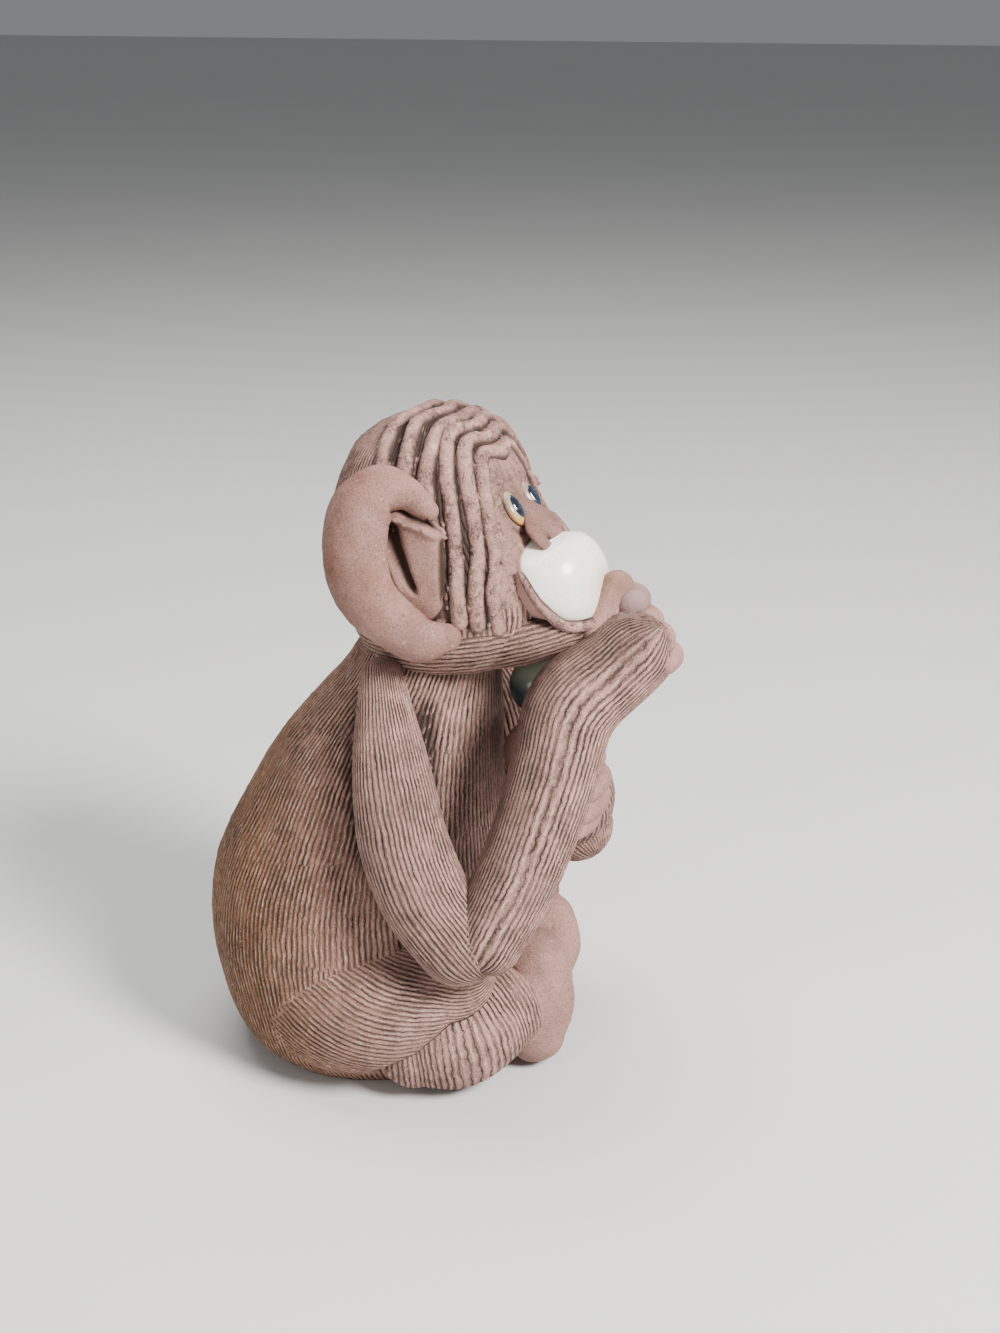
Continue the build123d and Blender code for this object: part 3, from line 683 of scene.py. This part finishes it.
# Face: jaw, muzzle, mask, nose and eyes
faceFacts = {
    "jaw": {"at": (-0.277, 0.18), "size": (20, 26.5, 10.5), "tilt": -18, "spacing": 0.72, "depth": 0.12,
            "lean": 0.04, "stretch": (14, 14, 6), "seamReach": 1.7, "seamDepth": 0.3, "lipFlat": 0.8,
            "lip": ((0.44, -0.365, 0.47, 0.4), (0.45, -0.408, 0.416, 0.8), (0.418, -0.454, 0.35, 1),
                    (0.33, -0.534, 0.27, 1.1), (0.175, -0.605, 0.262, 1.1), (0, -0.628, 0.285, 1.1))},
    "muzzle": {"at": (-0.392, 0.39), "size": (20, 16, 15.6), "tilt": 4, "narrowing": 0.9,
               "footNarrowing": 0.025, "footShift": 0.36, "forward": 0.4, "topDrop": 1.3,
               "lumps": 0.18, "furrow": 0.15,
               "mouth": ((22, 83.3), (24.3, 78.5), (26.2, 75.2), (29.2, 72.2), (31.8, 71.8))},
    "mask": {"at": (-0.19, 0.603), "size": (19, 22, 9), "tilt": 55,
             "socket": (2.1, 3.2), "socketWidth": 0.16, "socketDepth": 0.22,
             "fold": 4.5, "foldWidth": 0.28, "foldDepth": 0.35, "brow": 4.6, "browRise": 0.1},
    "nose": {"at": (-0.317, 0.658), "width": 9.6, "length": 9, "flat": 0.26, "slope": 32, "sink": 0.65,
             "reach": 2, "flare": 0.25, "tipLift": 0.5, "nostril": (1.7, 4.4), "nostrilSlant": 0.8,
             "nostrilWidth": 0.7, "nostrilDepth": 0.9, "ridge": 0.22, "rim": 0.12,
             "stations": ((0.233, 0.189, 0.22), (0, 0, 0.6), (-0.133, -0.155, 1))},
    # an eye and its pupil: width, height, thickness, and how far its middle stands off the mask
    "eyeSpacing": 6.2, "eye": (3.3, 5.4, 1.8, -0.35), "pupil": (2.3, 3.8, 1.2, 0.15),
    "sink": 0.9, "eyeRise": 0.6,
}


def muzzleGrid(f):
    # the dome leans: its foot lies further forward than its top
    grid, own = lumpGrid(headPlace(*f["at"]), *f["size"], f["tilt"], 120, 160)
    grid[..., 0] *= f["narrowing"]
    grid[..., 0] *= 1 - f["footNarrowing"] * np.maximum(0, -own[..., 2])
    grid[..., 1] += np.where(own[..., 2] < 0, f["footShift"], 0.0) * own[..., 2] - f["forward"]
    grid[..., 2] -= f["topDrop"] * ramp(3.0, 7.5, own[..., 2]) * ramp(-4.0, 1.0, own[..., 1])
    return grid, own


def jaw(f):
    places, faces, own = lump(*lumpGrid(headPlace(*f["at"]), *f["size"], f["tilt"], 150, 200))
    height, dark, lines = combed([own[:, 2] / f["spacing"] + f["lean"] * own[:, 1]], places, f)
    # where the jaw meets the muzzle it is sunk and darkened with painted shade, a dark line of the mouth
    seam = ramp(0.1, 0.7, near(places, muzzleTree, f["seamReach"]))
    height, dark, lines = height - f["seamDepth"] * seam, np.clip(dark + seam, 0, 1), lines[0]
    # the lower lip: a thin roll that follows the smile round the muzzle's foot
    width = faceFacts["muzzle"]["size"][0]
    lip = [tuple(headPlace(b, c) + side * a * width) + (r,) for a, b, c, r in f["lip"]]
    lip += [(-x, y, z, r) for x, y, z, r in lip[-2::-1]]
    lipPlaces, lipFaces = skin(rollGrid(lip, up, f["lipFlat"], 120, 28)[0])
    faces += [tuple(k + len(places) for k in face) for face in lipFaces]
    places = np.vstack([places, lipPlaces])
    height = np.r_[height, 0.12 * clump(lipPlaces, 1.6, 3.1)]
    # painted shade on the lip where it lies under the muzzle
    dark = np.r_[dark, 0.9 * ramp(0.1, 0.7, near(lipPlaces, muzzleTree, 0.9))]
    lines = [np.r_[lines, noLine + 0.2 * clump(lipPlaces, 0.9, 2.6)]]
    makePiece("jaw_clay", places, faces, combedClay, height, dark, (lines, (0,), None))


def muzzle(f):
    places, faces, own = lump(*muzzleGrid(f))
    furrow = bell(own[:, 0], 1.6) * ramp(-2.0, -7.0, own[:, 1]) * ramp(-2.0, 1.0, own[:, 2])
    height = f["lumps"] * clump(places, 5, 2.8) - f["furrow"] * furrow
    # below the line of the mouth the glaze gives way to bare clay
    mouth = np.interp(-places[:, 1], *zip(*f["mouth"]))
    bare = ramp(0.3, -0.3, places[:, 2] - mouth + 0.2 * clump(places, 1.3, 4.2))
    makePiece("muzzle_glaze", places, faces, whiteGlaze, height, bare)


def mask(f):
    places, faces, own = lump(*lumpGrid(headPlace(*f["at"]), *f["size"], f["tilt"], 150, 200))
    x, y = np.abs(own[:, 0]) - faceFacts["eyeSpacing"] / 2, own[:, 1]
    socket = bell(np.hypot(x / f["socket"][0], y / f["socket"][1]) - 1.0, f["socketWidth"])
    fold = bell(np.hypot(x, y + 0.4) - f["fold"], f["foldWidth"]) * ramp(3.2, 4.2, -y)
    brow = bell(y - f["brow"], 1.0) * ramp(5.5, 3.0, np.abs(own[:, 0]))
    places = places - tiltedUp(f["tilt"]) * faceFacts["sink"]
    height = (f["browRise"] * brow - f["socketDepth"] * socket - f["foldDepth"] * fold
              + 0.12 * clump(places, 2.2, 9.4) + 0.05 * clump(places, 0.9, 2.4))
    # painted shade in the eye sockets and the folds below them, over a darker tone of the whole mask
    dark = np.clip(0.2 + 0.45 * socket + 0.85 * fold, 0, 1)
    makePiece("face_clay", places, faces, smoothClay, height, dark, nodes=["face_mask"])


def nose(f):
    # a flat hood, narrow between the eyes, that widens to the nostrils' two slanting wedges
    lift = tiltedUp(f["slope"])
    middle = headPlace(*f["at"]) - lift * f["sink"]
    stations = [station(middle + np.array([0, b, c]) * f["length"], r * f["width"])
                for b, c, r in f["stations"]]
    places, faces = skin(rollGrid(stations, lift, f["flat"], 60, 120)[0])
    tip = np.array(stations[-1][:3])
    way = unit(tip - np.array(stations[-2][:3]))
    along = ramp(-1.0, 4.0, (places - tip) @ way)
    places = places + (way * f["reach"] + lift * f["tipLift"]) * along[:, None]
    places[:, 0] *= 1 + f["flare"] * along
    x, y = np.abs(places[:, 0]), (places - tip) @ way
    slant = (x - f["nostril"][0]) + f["nostrilSlant"] * (y - f["nostril"][1])
    hole = bell(slant, f["nostrilWidth"]) * ramp(3.6, 2.6, x) * ramp(0.2, 0.9, x)
    ridge = bell(x, 1.3) * ramp(5.4, 1.0, y)
    rim = bell(y - 4.6, 0.8) * ramp(4.6, 3.0, x)
    height = f["ridge"] * ridge + f["rim"] * rim - f["nostrilDepth"] * hole + 0.08 * clump(places, 1.6, 5.9)
    # painted shade in the nostrils, over a darker tone of the whole nose
    makePiece("nose_clay", places, faces, earClay, height, np.clip(0.3 + ramp(0.25, 0.6, hole), 0, 1))


def eyes(f):
    tilt = f["mask"]["tilt"]
    centre = headPlace(*f["mask"]["at"]) + up * f["eyeRise"]
    for name, hand in (("right", 1), ("left", -1)):
        for part, kind, finish in (("eye", "eye_white", eyeGlaze), ("pupil", "pupil", pupilGlaze)):
            width, height, thick, rise = f[part]
            proud = f["mask"]["size"][2] / 2 + rise - f["sink"]
            at = centre + tiltedUp(tilt) * proud + side * hand * f["eyeSpacing"] / 2
            places, faces = skin(lumpGrid(at, width, height, thick, tilt, 40, 56)[0])
            makePiece(name + "_" + part + "_glaze", places, faces, finish, 0.06 * clump(places, 1.4, 3.3),
                      nodes=[name + "_" + kind])


muzzleTree = treeOf(muzzleGrid(faceFacts["muzzle"])[0][::2, ::2])
jaw(faceFacts["jaw"])
muzzle(faceFacts["muzzle"])
mask(faceFacts["mask"])
nose(faceFacts["nose"])
eyes(faceFacts)
print("face set")

# Ears: a thick smooth rim rolled round a thin torn plate with a slit
earFacts = {
    "at": (0.017, 0.526), "height": 26, "length": 17, "flare": 4.6, "seat": 1,
    "rimThick": 8.6, "rimFlat": 0.78, "press": 1.6, "rimLumps": 0.16, "rimSink": 0.14,
    "rim": (
        (-0.16, -0.14, 0.28, 0.4), (0.05, 0.02, 0.37, 0.62), (0.27, 0.15, 0.39, 0.85),
        (0.66, 0.31, 0.31, 1.04), (0.95, 0.37, 0.08, 1.12), (0.9, 0.29, -0.16, 1.08),
        (0.64, 0.05, -0.33, 0.95), (0.34, -0.16, -0.41, 0.78), (0.01, -0.33, -0.4, 0.5),
    ),
    "cup": (4.4, 12.58, 18.59), "slit": 0.3, "slitLean": 0.45, "slitDepth": 1.6,
    "lipGap": 1.9, "lipWidth": 0.45, "lipRise": 0.4, "tearHeight": 6, "tearLean": 0.35,
    "tearRise": 0.5, "crumbHeight": 1.2, "topDrop": 1.3, "frontDrop": 0.8, "frontEdge": (-4.6, -5.4),
}


def ears(f):
    centre = headPlace(*f["at"]) + side * (headFacts["width"] / 2 - f["seat"])
    stations = [station(centre + (-a * f["flare"], b * f["length"], c * f["height"]), r * f["rimThick"])
                for a, b, c, r in f["rim"]]
    places, faces = skin(rollGrid(stations, side, f["rimFlat"], 150, 84)[0])
    places = settle(places, headTree, f["press"])
    rim = makePiece("right_ear_rim_clay", places, faces, earClay,
                    f["rimLumps"] * clump(places, 6, 4.9) - f["rimSink"] + 0.05 * clump(places, 1.2, 8.2))
    twin(rim, "left_ear_rim")
    places, faces, own = lump(*lumpGrid(centre, *f["cup"], 0, 140, 160))
    y, z = own[:, 1], own[:, 2]
    # the plate: a deep slit at its back, a folded lip beside it and a torn top edge
    back = y - (f["slit"] + f["slitLean"] * z)
    slit = bell(back, 0.55 + 0.09 * (z + 3.4)) * ramp(-4.6, -3.0, z) * ramp(6.4, 5.0, z)
    lip = bell(back - f["lipGap"], f["lipWidth"]) * ramp(-5.0, -3.0, z) * ramp(8.5, 6.5, z)
    edge = z - f["tearHeight"] - f["tearLean"] * y + 0.5 * clump(places, 1.5, 2.9)
    tear = bell(edge, 0.5)
    above, before = ramp(0.5, 1.3, edge), ramp(*f["frontEdge"], y)
    crumbs = crumble(places, 0.7, 5.5, 0.3) * tear
    height = (f["lipRise"] * lip - f["slitDepth"] * slit + f["tearRise"] * tear + f["crumbHeight"] * crumbs
              - f["topDrop"] * above - f["frontDrop"] * before + 0.12 * clump(places, 1.8, 3.8))
    # painted shade in the slit, a little behind it, and on the sunken plate above the torn edge and at the
    # front; the torn edge and its crumbs are kept light
    dark = slit * 1.4 + above + before - tear - crumbs + 0.25 * ramp(2.6, 4.0, back)
    cup = makePiece("right_ear_cup_clay", places, faces, earClay, height, np.clip(dark, 0, 1))
    twin(cup, "left_ear_cup")


ears(earFacts)
print("ears rolled")

# Legs and feet; stations are body shares with a share of the thickness
legFacts = {
    "thigh": {"thick": 23, "spacing": 0.88, "depth": 0.18, "lines": 64, "slope": 1.5, "press": 4.5,
              "creaseReach": 1.3, "creaseDepth": 0.4, "stations": (
                  (-0.27, 0.2, 0.165, 0.85), (-0.325, 0.02, 0.175, 1), (-0.335, -0.14, 0.205, 0.9),
                  (-0.285, -0.29, 0.25, 0.64))},
    "calf": {"thick": 17, "spacing": 0.8, "depth": 0.12, "lumps": 0.3, "dark": 0.7, "stations": (
        (-0.35, -0.215, 0.104, 0.68), (-0.285, -0.325, 0.124, 0.9), (-0.168, -0.4, 0.165, 0.86))},
    "right": {"thick": 10.6, "stations": (
        (-0.088, -0.48, 0.082, 0.92), (-0.09, -0.5, 0.18, 1), (-0.086, -0.485, 0.262, 0.9))},
    "left": {"thick": 10.6, "stations": (
        (0.074, -0.415, 0.165, 0.9), (0.07, -0.447, 0.232, 1), (0.066, -0.435, 0.29, 0.92))},
    "leftBack": 2.8, "footPress": 4, "toes": 0.25,
}


def limbGrid(f, outward, along, around, flatness=1.0, square=1.0):
    stations = [station(bodyPlace(x, y, z), r * f["thick"]) for x, y, z, r in f["stations"]]
    return rollGrid(stations, outward, flatness, along, around, square)


def legs(f):
    t, c = f["thigh"], f["calf"]
    calfTree = treeOf(limbGrid(c, up, 30, 40)[0])
    grid, run, turn = limbGrid(t, up, 130, 320)
    places, faces = skin(grid)
    places = settle(places, bodyTree, t["press"])
    phase = spread(turn) / fullTurn * t["lines"] - spread(run) / (t["spacing"] * t["slope"])
    height, dark, lines = combed([phase], places, t)
    # where the thigh meets the calf it is sunk and darkened with painted shade
    crease = ramp(0.0, 0.9, near(places, calfTree, t["creaseReach"]))
    thigh = makePiece("right_thigh_clay", places, faces, combedClay, height - t["creaseDepth"] * crease,
                      np.clip(dark + 0.9 * crease, 0, 1), (lines, (t["lines"],), None))
    twin(thigh, "left_thigh", f["leftBack"])
    grid, run, turn = limbGrid(c, up, 170, 170)
    places, faces = skin(grid)
    height, dark, lines = combed([spread(run) / c["spacing"] + 0.8 * np.sin(spread(turn))], places, c)
    calf = makePiece("right_calf_clay", places, faces, combedClay,
                     height + c["lumps"] * clump(places, 4.5, 1.9), dark * c["dark"], (lines, (0,), None))
    twin(calf, "left_calf", f["leftBack"])
    for foot in ("right", "left"):
        places, faces = skin(limbGrid(f[foot], front, 70, 110)[0])
        places = settle(places, calfTree, f["footPress"])
        toes = f["toes"] * clump(places, 3.2, 6.6) + 0.05 * clump(places, 1.1, 2.1)
        makePiece(foot + "_foot_clay", places, faces, smoothClay, toes)


legs(legFacts)
print("legs folded")

# Arms; stations are body shares with a share of the thickness
armFacts = {
    "upper": {"thick": 13.6, "flat": 0.82, "square": 0.86, "depth": 0.17, "lines": 52, "stations": (
        (-0.285, -0.095, 0.93, 0.5), (-0.335, -0.137, 0.85, 0.68), (-0.37, -0.176, 0.735, 0.86),
        (-0.395, -0.22, 0.614, 0.96), (-0.405, -0.3, 0.492, 0.98), (-0.4, -0.39, 0.41, 0.93))},
    "shoulder": (50, 60), "shoulderPress": 5, "armPress": 0.6, "press": 1.5,
    "elbow": (-0.386, -0.468, 0.425),
    "forearm": {"thick": 11.6, "bow": 0.15, "square": 0.7, "depth": 0.16, "lines": 50,
                "outward": (-0.87, -0.43, 0.2), "shadedWay": (-0.68, 0.6, 0.43), "shade": 0.45,
                "shares": ((0, 0.9), (0.2, 1), (0.42, 1.04), (0.64, 1.08), (0.84, 1.11), (0.94, 1.17)),
                "flat": ((0, 0.72, 1), (0.92, 0.9, 0.66)), "rows": 150, "softBend": 13},
    "leftForearm": {"thick": 11.6, "depth": 0.17, "lines": 42, "stations": (
        (0.385, -0.39, 0.44, 0.96), (0.31, -0.44, 0.51, 1), (0.225, -0.475, 0.58, 0.92),
        (0.14, -0.49, 0.64, 0.8))},
    "leftPalm": {"thick": 10.8, "flat": 0.92, "stations": (
        (0.062, -0.41, 0.7, 0.94), (0.056, -0.46, 0.664, 1), (0.052, -0.515, 0.627, 0.98))},
}
handFacts = {  # places are shares of the hand's length, from the thumb's tip
    "length": 16.5, "thick": 10.5, "thumb": 4.8, "finger": 4.4, "thumbTip": (0.05, -0.02), "press": 0.4,
    "wrist": (-0.39, 0.26, -0.85),
    "back": ((-0.27, 0.01, -0.75, 1.2), (-0.19, -0.22, -0.51, 1.14)),
    "thumbWay": ((-0.19, 0.1, -0.37), (-0.08, 0.05, -0.15), (0, 0, 0)),
    "roots": {"index": (-0.04, -0.14, -0.13), "middle": (-0.06, -0.27, -0.3),
              "ring": (-0.09, -0.4, -0.43), "little": (-0.15, -0.49, -0.55)},
    "curl": ((0, 0, 0), (0.2, 0.03, -0.02), (0.34, 0.16, -0.04)),
    "leftFingers": {"index": (-0.25, 0.42), "middle": (-0.34, 0.13), "ring": (-0.33, -0.16),
                    "little": (-0.22, -0.42)},
    "leftFinger": 3.6, "leftLength": 8, "leftBow": 0.1, "lumps": 0.12,
}


def findThumbTip(f, m):
    # the thumb is pressed to the front of the muzzle
    width, length, height = m["size"]
    away = f["press"] - (length + f["thumb"]) / 2
    return headPlace(*m["at"]) + (f["thumbTip"][0] * width, away, f["thumbTip"][1] * height)


thumbTip = findThumbTip(handFacts, faceFacts["muzzle"])


def handPlace(share):
    return thumbTip + np.array(share) * handFacts["length"]


def strokesAlong(name, grid, turn, f, press, nodes=None):
    places, faces = skin(grid)
    core = coreOf(grid)
    places = settle(places, *press)
    height, dark, lines = combed([spread(turn) / fullTurn * f["lines"]], places, f)
    if "shadedWay" in f:
        facing = (unit(places - core) * unit(np.array(f["shadedWay"]))).sum(1)
        dark = np.maximum(dark, f["shade"] * ramp(0.55, 0.85, facing))
    return makePiece(name, places, faces, combedClay, height, dark, (lines, (f["lines"],), None), nodes)


def forearmGrid(a, elbow, h):
    # the right forearm runs on into the back of the hand without a seam
    start, end = np.array(bodyPlace(*elbow)), handPlace(h["wrist"])
    bow = front * a["thick"] * a["bow"] * 4
    stations = [station(start + (end - start) * s + bow * s * (1 - s), r * a["thick"])
                for s, r in a["shares"]]
    stations += [station(handPlace((x, y, z)), r * h["thick"]) for x, y, z, r in h["back"]]
    # the bend at the wrist is soft, so the comb's lines turn with it
    line, half = flow(stations, a["rows"]), a["softBend"]
    padded = np.concatenate([2 * line[:1] - line[half:0:-1], line, 2 * line[-1:] - line[-2:-half - 2:-1]])
    stations = np.array([padded[i:i + 2 * half + 1].mean(0) for i in range(len(line))])
    flat = np.pad(np.interp(np.linspace(0, 1, a["rows"]), *a["flat"]), capRows, "edge")
    return rollGrid(stations, unit(a["outward"]), flat[:, None, None], a["rows"], 230, a["square"])


def upperGrid(f, along, around):
    return limbGrid(f, side, along, around, f["flat"], f["square"])


def arms(f):
    u = f["upper"]
    grid, _, turn = upperGrid(u, 120, 230)
    reach = f["shoulderPress"] * ramp(*f["shoulder"], spread(grid)[:, 2]) + f["armPress"]
    upper = strokesAlong("right_upper_arm_clay", grid, turn, u, (bodyTree, reach))
    twin(upper, "left_upper_arm")
    grid, _, turn = forearmGrid(f["forearm"], f["elbow"], handFacts)
    strokesAlong("right_forearm_and_hand_clay", grid, turn, f["forearm"],
                 (treeOf(upperGrid(u, 40, 50)[0]), f["press"]), ["right_forearm", "right_palm"])
    grid, _, turn = limbGrid(f["leftForearm"], front, 90, 180)
    strokesAlong("left_forearm_clay", grid, turn, f["leftForearm"], (bodyTree, f["press"]))


def smoothRoll(node, stations, outward, finish, flatness=1.0, along=60, around=56):
    places, faces = skin(rollGrid(stations, outward, flatness, along, around)[0])
    makePiece(node + "_clay", places, faces, finish, handFacts["lumps"] * clump(places, 2.4, 3.6))


def hands(f):
    smoothRoll("right_thumb", [station(handPlace(p), f["thumb"]) for p in f["thumbWay"]], side, thumbClay)
    for name, root in f["roots"].items():
        stations = [station(handPlace(np.array(root) + c), f["finger"]) for c in f["curl"]]
        smoothRoll("right_" + name + "_finger", stations, front, lilacClay if name == "index" else smoothClay)
    p = armFacts["leftPalm"]
    palm = [station(bodyPlace(x, y, z), s * p["thick"]) for x, y, z, s in p["stations"]]
    smoothRoll("left_palm", palm, side, smoothClay, p["flat"], 80, 90)
    reach, bow = side * f["leftLength"] / 2, front * f["leftLength"] * f["leftBow"]
    for name, (forward, rise) in f["leftFingers"].items():
        middle = np.array(palm[-1][:3]) + np.array([0, forward, rise]) * p["thick"]
        stations = [station(q, f["leftFinger"]) for q in (middle - reach, middle + bow, middle + reach)]
        smoothRoll("left_" + name + "_finger", stations, front, smoothClay)


arms(armFacts)
hands(handFacts)
print("arms and hands placed")

armTree = treeOf(upperGrid(armFacts["upper"], 50, 60)[0])
makeBody(bodyFacts)
print("body combed")

# Glazed ball under the chin
ballFacts = {"at": (0.116, -0.397, 0.841), "diameter": 9.4, "lumps": 0.08}
places, faces = skin(lumpGrid(bodyPlace(*ballFacts["at"]), *[ballFacts["diameter"]] * 3, 0, 60, 80)[0])
makePiece("ball_glaze", places, faces, ballGlaze, ballFacts["lumps"] * clump(places, 3, 1.2),
          nodes=["glazed_ball"])

# Camera at the photograph's angle, soft studio light and a pale floor
cameraFacts = {"azimuth": -66.0, "pitch": 20.0, "place": (-0.235401, -0.121229, 0.156345),
               "lens": 50.0, "sensor": 36.0, "near": 0.01, "far": 20.0}
lampFacts = {  # place, target, size, power, tint
    "window": ((-0.16, -0.5, 0.46), (0, -0.01, 0.05), 0.22, 13, (1, 0.97, 0.94)),
    "fill": ((-0.6, 0.15, 0.3), (0, 0, 0.05), 0.6, 1.5, (1, 0.96, 0.92)),
    "top": ((0.1, 0.12, 0.65), (0, 0, 0.05), 0.5, 4.5, (1, 1, 1)),
}
stageFacts = {"sky": (0.78, 0.8, 0.82, 1), "skyPower": 0.28, "floor": 6, "roughness": 0.7, "clouds": 8.0,
              "paper": (rgb(0.6, 0.6, 0.59), rgb(0.64, 0.64, 0.63))}


def lookAlong(f):
    a, e = math.radians(f["azimuth"]), math.radians(f["pitch"])
    back = Vector((math.sin(a) * math.cos(e), -math.cos(a) * math.cos(e), math.sin(e)))
    right = Vector((math.cos(a), math.sin(a), 0))
    data = bpy.data.cameras.new("camera")
    data.lens, data.sensor_width = f["lens"], f["sensor"]
    data.clip_start, data.clip_end = f["near"], f["far"]
    camera = bpy.data.objects.new("camera", data)
    turned = Matrix((right, back.cross(right), back)).transposed().to_4x4()
    camera.matrix_world = Matrix.Translation(f["place"]) @ turned
    bpy.context.scene.collection.objects.link(camera)
    bpy.context.scene.camera = camera


def softbox(name, place, target, size, power, tint):
    data = bpy.data.lights.new(name, "AREA")
    data.shape, data.size, data.energy, data.color = "DISK", size, power, tint
    lamp = bpy.data.objects.new(name, data)
    lamp.location = place
    lamp.rotation_euler = (Vector(target) - Vector(place)).to_track_quat("-Z", "Y").to_euler()
    bpy.context.scene.collection.objects.link(lamp)


def stage(f):
    world = bpy.data.worlds.new("studio")
    world.use_nodes = True
    sky = world.node_tree.nodes["Background"]
    sky.inputs[0].default_value, sky.inputs[1].default_value = f["sky"], f["skyPower"]
    bpy.context.scene.world = world
    mesh = bpy.data.meshes.new("floor")
    corners = [(x * f["floor"], y * f["floor"], 0) for x, y in ((-1, -1), (1, -1), (1, 1), (-1, 1))]
    mesh.from_pydata(corners, [], [(0, 1, 2, 3)])
    floor = bpy.data.objects.new("floor", mesh)
    bpy.context.scene.collection.objects.link(floor)
    paper = Nodes("pale floor")
    paper.link(paper.mix(paper.noise(f["clouds"]), *f["paper"]), paper.shader.inputs["Base Color"])
    paper.shader.inputs["Roughness"].default_value = f["roughness"]
    mesh.materials.append(paper.material)


lookAlong(cameraFacts)
for name, facts in lampFacts.items():
    softbox(name, *facts)
stage(stageFacts)
print("stage lit")
